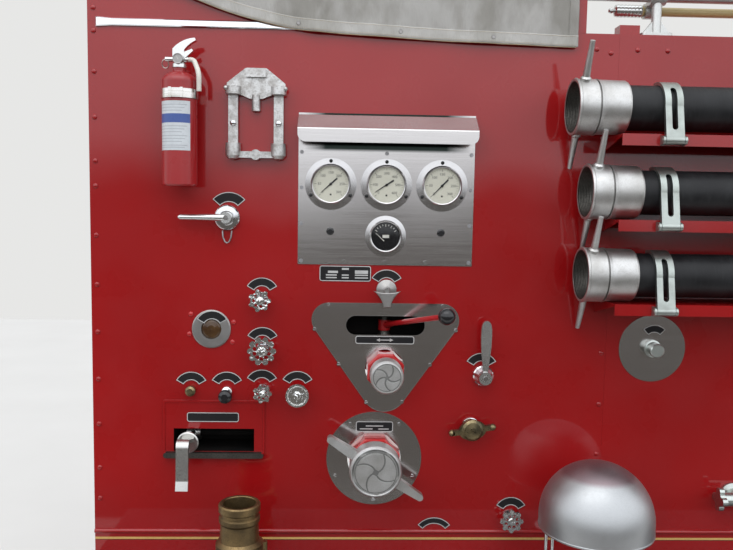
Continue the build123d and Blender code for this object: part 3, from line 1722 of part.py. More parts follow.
hinge_ear = 6.0
with BuildPart() as clamp_hinges:
    for name, z, left in hose_rows:
        pin_z = z - shank_r - clamp_drop
        for end, x in clamp_ends:
            with BuildSketch(across(x - clamp_width / 2 - hinge_ear - 2)) as pin:
                with Locations((pin_y, pin_z)):
                    Circle(clamp_pin_r)
            extrude(pin.sketch, amount=clamp_width + 2 * hinge_ear + 4)
            for ear_x in (x - clamp_width / 2 - hinge_ear - 1, x + clamp_width / 2 + 1):
                with BuildSketch(across(ear_x)) as ear:
                    with BuildLine():
                        Polyline(
                            (face_y(lip_out + seat_gap), pin_z - 12),
                            (face_y(lip_out + seat_gap), pin_z + 12),
                            (pin_y, pin_z + boss_r),
                            (pin_y, pin_z - boss_r),
                            close=True,
                        )
                    make_face()
                    with Locations((pin_y, pin_z)):
                        Circle(boss_r)
                extrude(ear.sketch, amount=hinge_ear)
write(clamp_hinges.part, "clamp_hinges")

# Small drain valve on its round plate, and the angled valve near the tail
tail_x, tail_z, tail_hole_r = controls["tail"]
tail_out = 45.0
with BuildPart() as side_valves:
    turned(
        cellar_x,
        cellar_z,
        (0, -50),
        (22, -50),
        (22, -16),
        (cellar_hole_r - 1, -10),
        (cellar_hole_r - 1, plate_thick + seat_gap),
        (23, plate_thick + seat_gap),
        (23, 8),
        (18.5, 9),
        (18.5, 38),
        (16, 40),
        (0, 40),
    )
    turned(
        tail_x,
        tail_z,
        (0, -30),
        (18, -30),
        (18, -16),
        (tail_hole_r - 1, -10),
        (tail_hole_r - 1, seat_gap),
        (30, seat_gap),
        (30, 8),
        (18, 12),
        (18, tail_out),
        (0, tail_out),
    )
    with BuildSketch(across(tail_x - 45)) as barrel:
        with Locations((face_y(tail_out), tail_z)):
            Circle(18)
    extrude(barrel.sketch, amount=90)
    with BuildSketch(across(tail_x - 57)) as grip:
        with Locations((face_y(tail_out), tail_z)):
            Circle(20)
            with PolarLocations(20, 4):
                Circle(11)
    extrude(grip.sketch, amount=13)
write(side_valves.part, "side_valves")

# Rail on its stanchions, the pole behind it and the red block on the ledge
top_rail_z = side_top + rail_rise
top_rail_y = face_y(-rail_in)
pole_z = side_top + pole_rise
pole_y = face_y(-pole_in)
stanchion_x = (bay_left + stanchion_inset, bay_right - stanchion_inset - 30)
clip_half = 20.0
clip_wall = 8.0
column_r = rail_r + 0.5
with BuildPart() as top_rail:
    for x in stanchion_x:
        foot_z_low = side_top + seat_gap
        with BuildSketch(Plane.XY.offset(foot_z_low)) as foot:
            with Locations((x, top_rail_y)):
                RectangleRounded(80, 34, 10)
        extrude(foot.sketch, amount=8)
        with BuildSketch(Plane.XZ.offset(-top_rail_y)) as web:
            with BuildLine():
                Polyline(
                    (x - 36, foot_z_low + 6),
                    (x + 36, foot_z_low + 6),
                    (x + column_r, foot_z_low + 36),
                    (x - column_r, foot_z_low + 36),
                    close=True,
                )
            make_face()
        extrude(web.sketch, amount=5, both=True)
        with BuildSketch(Plane.XY.offset(foot_z_low + 6)) as column:
            with Locations((x, top_rail_y)):
                Circle(column_r)
        extrude(column.sketch, amount=rail_rise + rail_r + 4)
        with BuildSketch(across(x - clip_half)) as clip:
            with Locations((top_rail_y, top_rail_z)):
                Circle(rail_r + clip_wall)
            with Locations((pole_y, pole_z)):
                Circle(pole_r + clip_wall)
            with BuildLine():
                Polyline(
                    (top_rail_y, top_rail_z - clip_wall),
                    (top_rail_y, top_rail_z + clip_wall),
                    (pole_y, pole_z + clip_wall),
                    (pole_y, pole_z - clip_wall),
                    close=True,
                )
            make_face()
        extrude(clip.sketch, amount=2 * clip_half)
        with BuildSketch(across(x - clip_half)) as bore:
            with Locations((pole_y, pole_z)):
                Circle(pole_r + seat_gap)
        extrude(bore.sketch, amount=2 * clip_half, mode=Mode.SUBTRACT)
    with BuildSketch(across(cowl_right + 2)) as tube:
        with Locations((top_rail_y, top_rail_z)):
            Circle(rail_r)
    extrude(tube.sketch, amount=bay_right - 20 - cowl_right)
write(top_rail.part, "top_rail")

pole_left = panel_right + 5
pole_right = bay_right - 30
ferrule_r = 15.0
ferrule_right = stanchion_x[0] - clip_half - 4
with BuildPart() as pole:
    with BuildSketch(across(pole_left)) as shaft:
        with Locations((pole_y, pole_z)):
            Circle(pole_r)
    extrude(shaft.sketch, amount=pole_right - pole_left)
    with BuildSketch(across(pole_left + 25)) as ferrule:
        with Locations((pole_y, pole_z)):
            Circle(ferrule_r)
    extrude(ferrule.sketch, amount=ferrule_right - pole_left - 25)
write(pole.part, "pole")

block_length = 52.0
block_width = 40.0
block_height = 26.0
with BuildPart() as rail_block:
    with BuildSketch(Plane.XY.offset(side_top + seat_gap)):
        with Locations((bay_left + 4 + block_length / 2, face_y(-rail_in - 12))):
            Rectangle(block_length, block_width)
    extrude(amount=block_height)
write(rail_block.part, "rail_block")
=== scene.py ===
# %% [markdown]
# # A fire engine's pump panel
#
# The object is a section of a fire engine's left side: the red panel with the pump's gauges, valve
# wheels and levers, and behind it the bay that carries the suction hoses. Its solid shapes come from
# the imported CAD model. This script dresses them: every surface gets a finish, and the thin or soft
# things that a CAD solid can't show (cloth, dial marks, rivets, stitching) are modelled here.
#
# The cells below run from top to bottom. Everything is in metres, in the CAD model's own frame:
# +X runs towards the vehicle's tail, +Y goes into the vehicle, +Z is up, and the painted side
# faces -Y.

import json
import math
import random

import bmesh
import bpy
from mathutils import Matrix, Vector


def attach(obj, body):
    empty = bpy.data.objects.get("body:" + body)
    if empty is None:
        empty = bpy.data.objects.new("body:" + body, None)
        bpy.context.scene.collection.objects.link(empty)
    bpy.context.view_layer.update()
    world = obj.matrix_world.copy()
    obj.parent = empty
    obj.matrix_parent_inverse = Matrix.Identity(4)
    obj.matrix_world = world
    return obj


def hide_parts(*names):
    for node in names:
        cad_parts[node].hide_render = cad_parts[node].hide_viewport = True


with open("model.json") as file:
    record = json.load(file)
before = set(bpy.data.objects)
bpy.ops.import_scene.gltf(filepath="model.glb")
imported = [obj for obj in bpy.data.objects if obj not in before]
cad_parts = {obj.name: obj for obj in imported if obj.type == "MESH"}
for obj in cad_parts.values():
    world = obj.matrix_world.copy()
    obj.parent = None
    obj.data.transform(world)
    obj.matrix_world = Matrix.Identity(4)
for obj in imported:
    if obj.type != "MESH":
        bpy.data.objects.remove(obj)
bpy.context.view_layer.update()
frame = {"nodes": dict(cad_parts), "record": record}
nodes = frame["nodes"]
slot_of = {row["node"]: row["material_slot"] for row in frame["record"]["subparts"]}

# %% [markdown]
# ## Camera
#
# The photograph was taken two metres in front of the panel, a little left of its middle and about
# level with the gauges, with the lens tipped down by some five degrees. A camera in Blender looks
# along its own -Z, so a quarter turn about X makes it look along +Y, at the painted side. The small
# turns after it pan, tip and roll it, as a camera that is held by hand never looks quite level.

# %% Camera
eye = Vector((-0.035, -2.060, 0.200))
pan, tip, roll = (math.radians(angle) for angle in (-2.01, -5.23, 0.98))

camera = bpy.data.objects.new("camera", bpy.data.cameras.new("camera"))
camera.data.lens = 38.0
camera.data.sensor_width = 36.0
aim = Matrix.Rotation(math.radians(90), 4, "X")
for angle, axis in ((pan, "Y"), (tip, "X"), (roll, "Z")):
    aim = aim @ Matrix.Rotation(angle, 4, axis)
camera.matrix_world = Matrix.Translation(eye) @ aim
bpy.context.scene.collection.objects.link(camera)
bpy.context.scene.camera = camera
bpy.context.scene.view_settings.view_transform = "Standard"
print("camera at", tuple(eye))

# %% [markdown]
# ## Shader nodes with less typing
#
# A finish is a small network of nodes. Writing each node and link in full hides what the network
# does, so these helpers add one node at a time and take either a plain value or another node's
# output for any socket. All patterns read object coordinates. The CAD objects sit at the origin, so
# those coordinates are metres on the real panel, and a pattern never slides when the camera moves.

# %% Helpers for shader nodes
finishes = {}


def add(material, kind, inputs=None, **settings):
    """Add a shader node; an input may be a value or another node's output."""
    made = material.node_tree.nodes.new("ShaderNode" + kind)
    for name, value in settings.items():
        setattr(made, name, value)
    for name, value in (inputs or {}).items():
        if isinstance(value, bpy.types.NodeSocket):
            material.node_tree.links.new(value, made.inputs[name])
        else:
            made.inputs[name].default_value = value
    return made


def new_finish(name, colour, rough, metal=0.0, **sockets):
    """A material whose shader has these constants, ready for patterns to be linked in."""
    material = bpy.data.materials.new(name)
    material.use_nodes = True
    shader = material.node_tree.nodes["Principled BSDF"]
    shader.inputs["Base Color"].default_value = (*colour, 1)
    shader.inputs["Roughness"].default_value = rough
    shader.inputs["Metallic"].default_value = metal
    for socket, value in sockets.items():
        shader.inputs[socket.replace("_", " ")].default_value = value
    finishes[name] = material
    return material


def feed(material, socket, source):
    """Link a pattern into the material's main shader."""
    shader = material.node_tree.nodes["Principled BSDF"]
    material.node_tree.links.new(source, shader.inputs[socket])


def place(material, stretch=(1, 1, 1)):
    """Object coordinates, squeezed or stretched along each axis."""
    where = add(material, "TexCoord").outputs["Object"]
    return add(material, "Mapping", {"Vector": where, "Scale": stretch}).outputs["Vector"]


def clouds(material, scale, stretch=(1, 1, 1), detail=3.0):
    """Soft noise between about 0.3 and 0.7, `scale` blotches to the metre."""
    inputs = {"Vector": place(material, stretch), "Scale": scale, "Detail": detail}
    return add(material, "TexNoise", inputs).outputs["Fac"]


def spread(material, source, low, high, start=0.35, end=0.65):
    """Map the part of a pattern between start and end onto low to high."""
    inputs = {"Value": source, "From Min": start, "From Max": end, "To Min": low, "To Max": high}
    return add(material, "MapRange", inputs).outputs["Result"]


def blend_colours(material, factor, first, second):
    """Two colours mixed by a pattern; either one may be an earlier mix."""
    colours = [c if isinstance(c, bpy.types.NodeSocket) else (*c, 1) for c in (first, second)]
    mixed = add(material, "Mix", data_type="RGBA")
    for socket, value in zip((0, 6, 7), (factor, *colours)):
        if isinstance(value, bpy.types.NodeSocket):
            material.node_tree.links.new(value, mixed.inputs[socket])
        else:
            mixed.inputs[socket].default_value = value
    return mixed.outputs[2]


def relief(material, height, depth, under=None):
    """Turn a pattern into bumps `depth` metres high, on top of an earlier relief if given."""
    inputs = {"Height": height, "Distance": depth, "Strength": 1.0}
    if under:
        inputs["Normal"] = under
    return add(material, "Bump", inputs).outputs["Normal"]


print("helpers ready")

# %% [markdown]
# ## Floor, sky and lamp
#
# Glossy paint and chrome show whatever stands in front of them, so the surroundings matter as much
# as the lamp. The world is a plain overcast sky: bright down to the horizon and dim below it on the
# side that the panel faces, and pale behind the object. The camera looks in level with the gauges,
# so the paint above them mirrors the sky and turns paler, and the paint below mirrors the ground
# and stays deep red. A little noise breaks up the edge between the two. A softbox overhead adds
# the gentle shadows under the gauge hood and the canvas. The floor ends a little in front of the
# object, so that its paleness doesn't lie over the red.

# %% Surroundings
def link(thing):
    """Put a new object into the scene and hand it back."""
    bpy.context.scene.collection.objects.link(thing)
    return thing


sharp_angle = math.radians(50)


def mesh_object(name, vertices, faces, smooth=False):
    """An object made straight from lists of corners and faces."""
    mesh = bpy.data.meshes.new(name)
    mesh.from_pydata(vertices, [], faces)
    mesh.validate()
    mesh.polygons.foreach_set("use_smooth", [smooth] * len(mesh.polygons))
    if smooth:
        mesh.set_sharp_from_angle(angle=sharp_angle)
    return link(bpy.data.objects.new(name, mesh))


floor_z = -1.20
floor_half = 7.0
floor_front = -1.4
edges = ((-1, floor_front), (1, floor_front), (1, floor_half), (-1, floor_half))
floor = mesh_object("floor", [(side * floor_half, y, floor_z) for side, y in edges], [(0, 1, 2, 3)])
pale = new_finish("pale_floor", (0.62, 0.61, 0.59), 0.8)
feed(pale, "Base Color", blend_colours(pale, clouds(pale, 2.0), (0.60, 0.59, 0.57), (0.66, 0.65, 0.63)))
floor.data.materials.append(pale)

world = bpy.data.worlds.new("overcast")
bpy.context.scene.world = world
world.use_nodes = True
direction = add(world, "TexCoord").outputs["Generated"]
drift = add(world, "TexNoise", {"Vector": direction, "Scale": 3.0, "Detail": 3.0}).outputs["Fac"]
parts = add(world, "SeparateXYZ", {"Vector": direction})
ragged = add(world, "Math", {0: drift, 1: 0.35}, operation="MULTIPLY").outputs[0]
height = add(world, "Math", {0: parts.outputs["Z"], 1: ragged}, operation="ADD").outputs[0]
sky_share = spread(world, height, 0.0, 1.0, 0.15, 0.23)
overhead = spread(world, parts.outputs["Z"], 0.0, 1.0, 0.02, 0.22)
sky = blend_colours(world, overhead, (1.20, 1.24, 1.30), (1.72, 1.77, 1.86))
ground_and_sky = blend_colours(world, sky_share, (0.14, 0.13, 0.12), sky)
behind = spread(world, parts.outputs["Y"], 0.0, 1.0, -0.1, 0.25)
surround = blend_colours(world, behind, ground_and_sky, (0.80, 0.80, 0.79))
world.node_tree.links.new(surround, world.node_tree.nodes["Background"].inputs["Color"])

softbox = link(bpy.data.objects.new("softbox", bpy.data.lights.new("softbox", "AREA")))
softbox.data.shape = "RECTANGLE"
softbox.data.size = 3.2
softbox.data.size_y = 1.6
softbox.data.energy = 22.0
softbox_spot, softbox_tilt = (-0.4, -1.6, 2.4), math.radians(38)
softbox.matrix_world = Matrix.Translation(softbox_spot) @ Matrix.Rotation(softbox_tilt, 4, "X")
print("floor at", floor_z, "and softbox of", softbox.data.energy, "W")

# %% [markdown]
# ## Red enamel
#
# The panel is steel sheet under many coats of hand-rubbed enamel. Its deep red is a plain base
# colour, and its shine is a clear coat: a second, very smooth layer that reflects the sky while the
# red below stays saturated. A real sheet is never flat, so a slow swell bends those reflections, and
# an orange-peel grain too fine to see singly softens them. Dust dulls the coat in patches, and the
# hand extinguisher has a duller coat than the rest.

# %% Painted finishes
def enamel(name, colour, dark, swell=0.0006, rough=0.32, coat_rough=0.05):
    """Glossy sprayed paint on sheet metal or on a casting."""
    coat = {"Coat_Weight": 0.9, "Coat_Roughness": coat_rough, "Coat_IOR": 1.5}
    paint = new_finish(name, colour, rough, Specular_IOR_Level=0.12, **coat)
    tone = clouds(paint, 2.2, detail=2.0)
    speck = clouds(paint, 190.0, detail=4.0)
    body = blend_colours(paint, spread(paint, tone, 0.0, 1.0), colour, dark)
    dusty = tuple(0.85 * c + 0.03 for c in colour)
    feed(paint, "Base Color", blend_colours(paint, spread(paint, speck, 0.0, 0.25, 0.6, 0.8), body, dusty))
    feed(paint, "Roughness", spread(paint, clouds(paint, 9.0), rough - 0.08, rough + 0.14))
    slow = relief(paint, clouds(paint, 2.6, detail=1.0), swell * 40)
    feed(paint, "Normal", relief(paint, clouds(paint, 700.0, detail=2.0), 0.00004, slow))
    return paint


enamel("red_paint", (0.285, 0.0050, 0.0060), (0.245, 0.0040, 0.0050))
enamel("red_casting", (0.44, 0.020, 0.020), (0.33, 0.010, 0.012), swell=0.0)
enamel("red_lever", (0.40, 0.012, 0.014), (0.30, 0.008, 0.010), swell=0.0)
enamel("bottle_red", (0.30, 0.007, 0.009), (0.25, 0.005, 0.007), swell=0.0, coat_rough=0.25)
enamel("frame_paint", (0.022, 0.022, 0.024), (0.035, 0.033, 0.031), swell=0.0, rough=0.5)
print(len(finishes), "painted finishes")

# %% [markdown]
# ## Bright and cast metals
#
# Metals differ in how their surface was made. Plate metal that was ground shows fine lines, so its
# noise is stretched far along one axis. A sand casting is grainy, and the grain holds dirt. A
# chromed or spun part is nearly a mirror with a few hazy patches. One function builds all of them,
# and a table with one row for each metal says how they differ.

# %% Metal finishes
even, sheet_grain, turned_grain, wire_grain = (1, 1, 1), (1, 220, 220), (1, 1, 9), (1, 1, 60)


def metal(name, colour, soiled, rough, grain, depth, haze, cover=0.5, stretch=even):
    """Bare metal: `soiled` lies in hazy patches, and the grain is relief and roughness."""
    bare = new_finish(name, colour, rough, metal=1.0)
    patches = clouds(bare, haze, detail=5.0)
    lines = clouds(bare, grain, stretch, detail=2.0)
    body = blend_colours(bare, spread(bare, patches, 0.0, cover, 0.42, 0.68), colour, soiled)
    feed(bare, "Base Color", blend_colours(bare, spread(bare, lines, 0.0, 0.5, 0.5, 0.75), body, soiled))
    feed(bare, "Roughness", spread(bare, lines, 0.8 * rough, 1.35 * rough))
    feed(bare, "Normal", relief(bare, lines, depth))
    return bare


# Each row: name, colour, soiled colour, roughness, grains to the metre, their depth in metres, patches
# to the metre, and where it differs from the usual, how much of the metal they cover and the stretch.
for row in (
    ("chrome", (0.74, 0.75, 0.77), (0.56, 0.55, 0.53), 0.10, 2200.0, 0.000002, 14.0),
    ("wheel_chrome", (0.70, 0.71, 0.70), (0.54, 0.54, 0.52), 0.22, 2200.0, 0.000004, 14.0),
    ("cast_chrome", (0.86, 0.87, 0.86), (0.62, 0.62, 0.60), 0.13, 95.0, 0.0022, 30.0),
    ("satin_steel", (0.52, 0.56, 0.53), (0.40, 0.43, 0.40), 0.30, 2200.0, 0.000004, 12.0),
    ("light_casting", (0.64, 0.65, 0.63), (0.44, 0.44, 0.42), 0.46, 900.0, 0.00006, 16.0),
    ("rack_casting", (0.60, 0.60, 0.59), (0.34, 0.32, 0.30), 0.44, 240.0, 0.0004, 60.0, 0.8),
    ("dull_bronze", (0.26, 0.18, 0.085), (0.085, 0.062, 0.036), 0.42, 350.0, 0.0001, 22.0, 0.9),
    ("gauge_metal", (0.52, 0.51, 0.51), (0.44, 0.43, 0.42), 0.22, 2200.0, 0.000002, 16.0),
    ("stainless", (0.56, 0.54, 0.53), (0.50, 0.475, 0.465), 0.15, 7.0, 0.000003, 3.5, 0.5, sheet_grain),
    # The second row is for the gauge plate, which is given painted shade under its hood.
    ("hood_shaded_stainless", (0.56, 0.54, 0.53), (0.50, 0.475, 0.465), 0.15, 7.0, 0.000003, 3.5, 0.5, sheet_grain),
    ("cast_aluminium", (0.56, 0.56, 0.55), (0.36, 0.35, 0.33), 0.42, 500.0, 0.00010, 18.0, 0.7),
    ("clamp_metal", (0.42, 0.46, 0.43), (0.24, 0.25, 0.23), 0.40, 1400.0, 0.00004, 24.0),
    ("shift_metal", (0.56, 0.56, 0.54), (0.38, 0.37, 0.35), 0.27, 1800.0, 0.00001, 16.0),
    ("lamp_metal", (0.34, 0.33, 0.32), (0.22, 0.21, 0.20), 0.38, 1400.0, 0.00002, 20.0),
    ("bell_metal", (0.43, 0.44, 0.445), (0.38, 0.39, 0.395), 0.40, 240.0, 0.00001, 4.0, 0.5, turned_grain),
    ("tread_plate", (0.15, 0.15, 0.15), (0.085, 0.08, 0.075), 0.48, 300.0, 0.00006, 9.0),
    ("channel_metal", (0.28, 0.28, 0.27), (0.16, 0.16, 0.15), 0.5, 800.0, 0.00004, 18.0),
    ("coupling_dark", (0.10, 0.095, 0.085), (0.03, 0.028, 0.026), 0.5, 300.0, 0.00004, 18.0),
    ("steel_inside", (0.36, 0.36, 0.37), (0.16, 0.14, 0.13), 0.38, 300.0, 0.00004, 18.0),
    ("bracket_steel", (0.66, 0.65, 0.62), (0.40, 0.36, 0.30), 0.16, 8.0, 0.00002, 20.0, 0.5, wire_grain),
    ("brass", (0.27, 0.215, 0.115), (0.09, 0.08, 0.052), 0.32, 350.0, 0.00008, 26.0, 0.9),
):
    metal(*row)
print(len(finishes), "finishes with the metals")

# %% [markdown]
# ## Painted shade and reflection in one place
#
# Some colour belongs to a place on the object and not to its whole metal. The gauge plate is
# painted nearly black just under its hood, as painted shade: the hood's shadow and the reflection
# of its dark underside. The bell's crown is painted a pinkish grey, as a painted reflection of the
# red side above it. Object coordinates give each point's place in metres, so a ramp along X or Z
# limits a colour to a region, and two ramps multiplied make a region with soft ends.

# %% Painted shade and reflection in one region
def ramp(material, axis, start, end):
    """0 before start and 1 after end, in metres along one of the object's axes."""
    where = add(material, "SeparateXYZ", {"Vector": place(material)}).outputs[axis]
    return spread(material, where, 0.0, 1.0, start, end)


def region(material, *ramps):
    """The product of several ramps."""
    share = ramps[0]
    for other in ramps[1:]:
        share = add(material, "Math", {0: share, 1: other}, operation="MULTIPLY").outputs[0]
    return share


def stain(name, share, colour):
    """Blend a colour of painted light or shade over whatever already feeds a finish's base colour."""
    shader = finishes[name].node_tree.nodes["Principled BSDF"]
    under = shader.inputs["Base Color"].links[0].from_socket
    feed(finishes[name], "Base Color", blend_colours(finishes[name], share, under, colour))


# Painted shade: nearly black just under the hood, for its shadow and its dark underside mirrored.
plate = finishes["hood_shaded_stainless"]
painted_hood_shade = region(
    plate,
    ramp(plate, "Z", 0.332, 0.340),
    ramp(plate, "X", -0.128, -0.075),
    ramp(plate, "X", 0.298, 0.235),
)
stain("hood_shaded_stainless", painted_hood_shade, (0.022, 0.030, 0.026))
bell = finishes["bell_metal"]
# Painted reflection: the crown turns pinkish grey, for the red side mirrored in the bell.
stain("bell_metal", ramp(bell, "Z", -0.452, -0.443), (0.30, 0.24, 0.255))
print("painted shade under the hood and painted reflection on the bell")

# %% [markdown]
# ## Rubber, plastic, enamel dials and lacquered wood
#
# The other finishes are not metal: a thin lit skin over a body colour. The suction hose is black
# rubber wound over a cloth ply, so dust picks out faint rings round it. The pole is varnished ash,
# whose grain is noise drawn out along the pole.

# %% Other finishes
def moulded(name, colour, worn, rough, grain=300.0, depth=4e-5, share=0.6, haze=14.0, stretch=even, **more):
    """Rubber, plastic, card or wood: a body colour with worn or dusty patches and a fine grain."""
    body = new_finish(name, colour, rough, **more)
    fine = clouds(body, grain, stretch, detail=4.0)
    patches = clouds(body, haze, detail=4.0)
    mixed = blend_colours(body, spread(body, patches, 0.0, share), colour, worn)
    feed(body, "Base Color", blend_colours(body, spread(body, fine, 0.0, share, 0.5, 0.7), mixed, worn))
    feed(body, "Roughness", spread(body, fine, 0.85 * rough, min(1.0, 1.2 * rough)))
    feed(body, "Normal", relief(body, fine, depth))
    return body


rubber_skin = {"stretch": (3, 0.4, 0.4), "Specular_IOR_Level": 0.28}
plastic_skin = {"grain": 1800.0, "depth": 0.000004, "share": 0.4}
label_skin = {**plastic_skin, "Specular_IOR_Level": 0.12}
moulded("hose_rubber", (0.007, 0.007, 0.008), (0.020, 0.021, 0.022), 0.48, 60.0, 0.0003, **rubber_skin)
moulded("black_plastic", (0.010, 0.010, 0.011), (0.018, 0.018, 0.019), 0.16, **plastic_skin)
moulded("label_black", (0.016, 0.016, 0.017), (0.024, 0.023, 0.023), 0.34, **label_skin)
moulded("dark_box", (0.005, 0.005, 0.005), (0.012, 0.010, 0.009), 0.75, Specular_IOR_Level=0.06)
moulded("dial_face", (0.70, 0.69, 0.58), (0.62, 0.60, 0.49), 0.42, grain=80.0, depth=0.0, share=0.35)
moulded("hose_cream", (0.66, 0.64, 0.58), (0.50, 0.48, 0.42), 0.38)
moulded("pole_wood", (0.52, 0.42, 0.20), (0.33, 0.24, 0.10), 0.30, 10.0, 1e-4, haze=3.0, stretch=(1, 28, 28))
moulded("canvas", (0.37, 0.365, 0.345), (0.29, 0.285, 0.265), 0.92, grain=300.0, haze=5.0)

glass = new_finish("gauge_glass", (0.01, 0.01, 0.01), 0.03, Alpha=0.06)
feed(glass, "Roughness", spread(glass, clouds(glass, 60.0), 0.01, 0.06))
lens_skin = {"Coat_Weight": 0.5, "Coat_Roughness": 0.08, "Specular_IOR_Level": 0.2}
amber = new_finish("amber_glass", (0.06, 0.03, 0.011), 0.12, **lens_skin)
mottled = spread(amber, clouds(amber, 40.0), 0, 1)
feed(amber, "Base Color", blend_colours(amber, mottled, (0.044, 0.021, 0.009), (0.080, 0.042, 0.016)))
feed(amber, "Normal", relief(amber, clouds(amber, 240.0, detail=1.0), 0.0004))
print(len(finishes), "finishes in all")

# %% [markdown]
# ## Giving the CAD nodes their finish
#
# The CAD record says which finish each node has, by a slot name, and the finishes above carry the
# same names. A few nodes share a slot with others but not their surface, so a short table gives them
# a finish of their own. One loop then dresses every node that keeps its CAD shape. Only the material
# changes: a CAD object is never moved, and its mesh is never edited.

# %% Dress the CAD nodes
own_finish = {
    "valve_wheels": "cast_chrome",
    "throttle_lever": "wheel_chrome",
    "cock_lever": "wheel_chrome",
    "extinguisher_valve": "wheel_chrome",
    "side_valves": "satin_steel",
    "pull_handle": "lamp_metal",
    "top_rail": "light_casting",
    "spanner_rack": "rack_casting",
    "hose_adapter": "dull_bronze",
    "gauge_plate": "hood_shaded_stainless",
    "valve_stem": "coupling_dark",
}
for name, thing in nodes.items():
    finish = finishes[own_finish.get(name, slot_of[name])]
    if not thing.material_slots:
        thing.data.materials.append(finish)
    for place_for in thing.material_slots:
        place_for.material = finish
print("dressed", len(nodes), "nodes in", len(set(slot_of.values())), "finishes")

# %% [markdown]
# ## Rivets, screws and other small heads
#
# The sheet is riveted to its frame, and its plates are held by screws. A rivet's head is a solid of
# revolution: a short outline of radius and height, turned about an axis that points out of the
# panel. Rings of corners joined by faces make it without any modifier, and all equal heads share
# one mesh, which keeps the scene light. Sizes on the real side are written in millimetres: x along
# it, `out` in front of its painted face, and z up.

# %% Turned heads
def on_side(x, out, z):
    """The scene's point for millimetres along, in front of and up the painted face."""
    return Vector((x, -60.0 - out, z)) / 1000


def carry(piece, finish, body="side"):
    """Give a piece its finish, and attach it to the body that carries it."""
    piece.data.materials.append(finishes[finish])
    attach(piece, body)
    return piece


def skin(first, rings, steps):
    """Faces round a stack of rings of corners, with both ends closed; first is the first corner."""
    faces = []
    for ring in range(rings - 1):
        for step in range(steps):
            a, b = first + ring * steps + step, first + ring * steps + (step + 1) % steps
            faces.append((a, b, b + steps, a + steps))
    faces.append([first + step for step in reversed(range(steps))])
    faces.append([first + (rings - 1) * steps + step for step in range(steps)])
    return faces


def circle(steps):
    """(cosine, sine) of equal steps round a full turn."""
    return [(math.cos(math.tau * step / steps), math.sin(math.tau * step / steps)) for step in range(steps)]


def turned_heads(name, outline, spots, steps=20):
    """Equal heads in one mesh: outline holds (radius, height), spots hold (x, out, z)."""
    vertices, faces = [], []
    for x, out, z in spots:
        first = len(vertices)
        for radius, height in outline:
            vertices += [on_side(x + radius * c, out + height, z + radius * s) for c, s in circle(steps)]
        faces += skin(first, len(outline), steps)
    return mesh_object(name, vertices, faces, smooth=True)


left_column = [(-657, 0, z) for z in (620, 520, 407, 298, 235, 110, -17, -140, -264, -383, -500, -583)]
right_column = [(660, 0, z) for z in (-182, -320, -456, -590)]
bay_edge = [(614, 0, 604), (651, 0, 595), (720, 0, 604), (798, 0, 604), (1010, 0, 604), (1220, 0, 604)]
cowl_rivets = [(-657, 0, 676), (-657, 0, 740)]
painted = left_column + right_column + bay_edge + cowl_rivets
rivet = ((6.5, -0.3), (6.3, 1.2), (4.9, 2.5), (2.6, 3.2), (0.8, 3.4))
carry(turned_heads("panel_rivets", rivet, painted), "red_paint")
lamp_spots = [(-365 + dx, 0, -129 + dz) for dx, dz in ((-53, 38), (-57, -14), (57, 18), (54, -34))]
carry(turned_heads("lamp_rivets", rivet, lamp_spots, 16), "red_casting")
print(len(painted), "rivets on the sheets")

# %% [markdown]
# ## Slotted screws
#
# A slot can't be turned, so a slotted head is built from flat shapes with a thickness: a low disc,
# and on it two half discs with a gap between them. The same helper, a closed prism from any row of
# corners, makes dial marks, needles and stripes later on. A seeded draw turns each slot differently,
# as a screwdriver leaves them.

# %% Flat shapes with a thickness
def prisms(name, shapes):
    """Closed prisms in one mesh; each shape is (corners anticlockwise, low, high)."""
    vertices, faces = [], []
    for corners, low, high in shapes:
        first, count = len(vertices), len(corners)
        for out in (low, high):
            vertices += [on_side(x, out, z) for x, z in corners]
        faces.append([first + i for i in reversed(range(count))])
        faces.append([first + count + i for i in range(count)])
        for i in range(count):
            j = (i + 1) % count
            faces.append((first + i, first + j, first + count + j, first + count + i))
    return mesh_object(name, vertices, faces)


def on_circle(x, z, radius, turns):
    """Points on a circle, in degrees from +X towards +Z."""
    return [(x + radius * math.cos(t), z + radius * math.sin(t)) for t in map(math.radians, turns)]


def arc(x, z, radius, start, end, steps=12):
    """Corners along an arc from start to end."""
    return on_circle(x, z, radius, [start + (end - start) * i / steps for i in range(steps + 1)])


slot_share = 0.16


def slotted(name, radius, rise, spots):
    """Slotted heads in one mesh; spots hold (x, out, z, turn of the slot)."""
    shapes = []
    edge = math.degrees(math.asin(slot_share))
    for x, out, z, turn in spots:
        shapes.append((arc(x, z, radius, 0, 345, 23), out - 0.2, out + 0.45 * rise))
        for side in (turn, turn + 180):
            half = arc(x, z, 0.96 * radius, side + edge, side + 180 - edge, 10)
            shapes.append((half, out + 0.4 * rise, out + rise))
    return prisms(name, shapes)


draw = random.Random(12)
plate_front = 2.0
inlet_x, inlet_z, screw_circle = 63.0, -471.0, 113.0
plate_sides = [(x, z) for x in (-135, 300) for z in (330, 240, 148, 52)] + [(82.5, 330)]
plate_foot = [(x, 51) for x in (-24, 82, 187)]
triangle = [(-62, -62), (236, -62), (-98, -126), (272, -126)]
triangle += [(-34, -218), (206, -218), (40, -320), (134, -318)]
ring = on_circle(inlet_x, inlet_z, screw_circle, (55, 125, 205, 270, 335))
for name, radius, rise, places, finish, slot in (
    # Painted shade: the screws up the plate's sides take darker steel, those along its foot chrome.
    ("gauge_plate_screws", 5.0, 2.2, plate_sides, "steel_inside", "stainless"),
    ("gauge_plate_foot_screws", 5.6, 2.4, plate_foot, "chrome", "chrome"),
    ("discharge_plate_screws", 4.8, 2.2, triangle, "chrome", "chrome"),
    ("inlet_plate_screws", 4.8, 2.2, ring, "chrome", "chrome"),
):
    spots = [(x, plate_front, z, draw.uniform(0, 180)) for x, z in places]
    carry(slotted(name, radius, rise, spots), finish)
print(len(plate_sides) + len(plate_foot), "screws on the gauge plate,", len(triangle), "on the triangle")

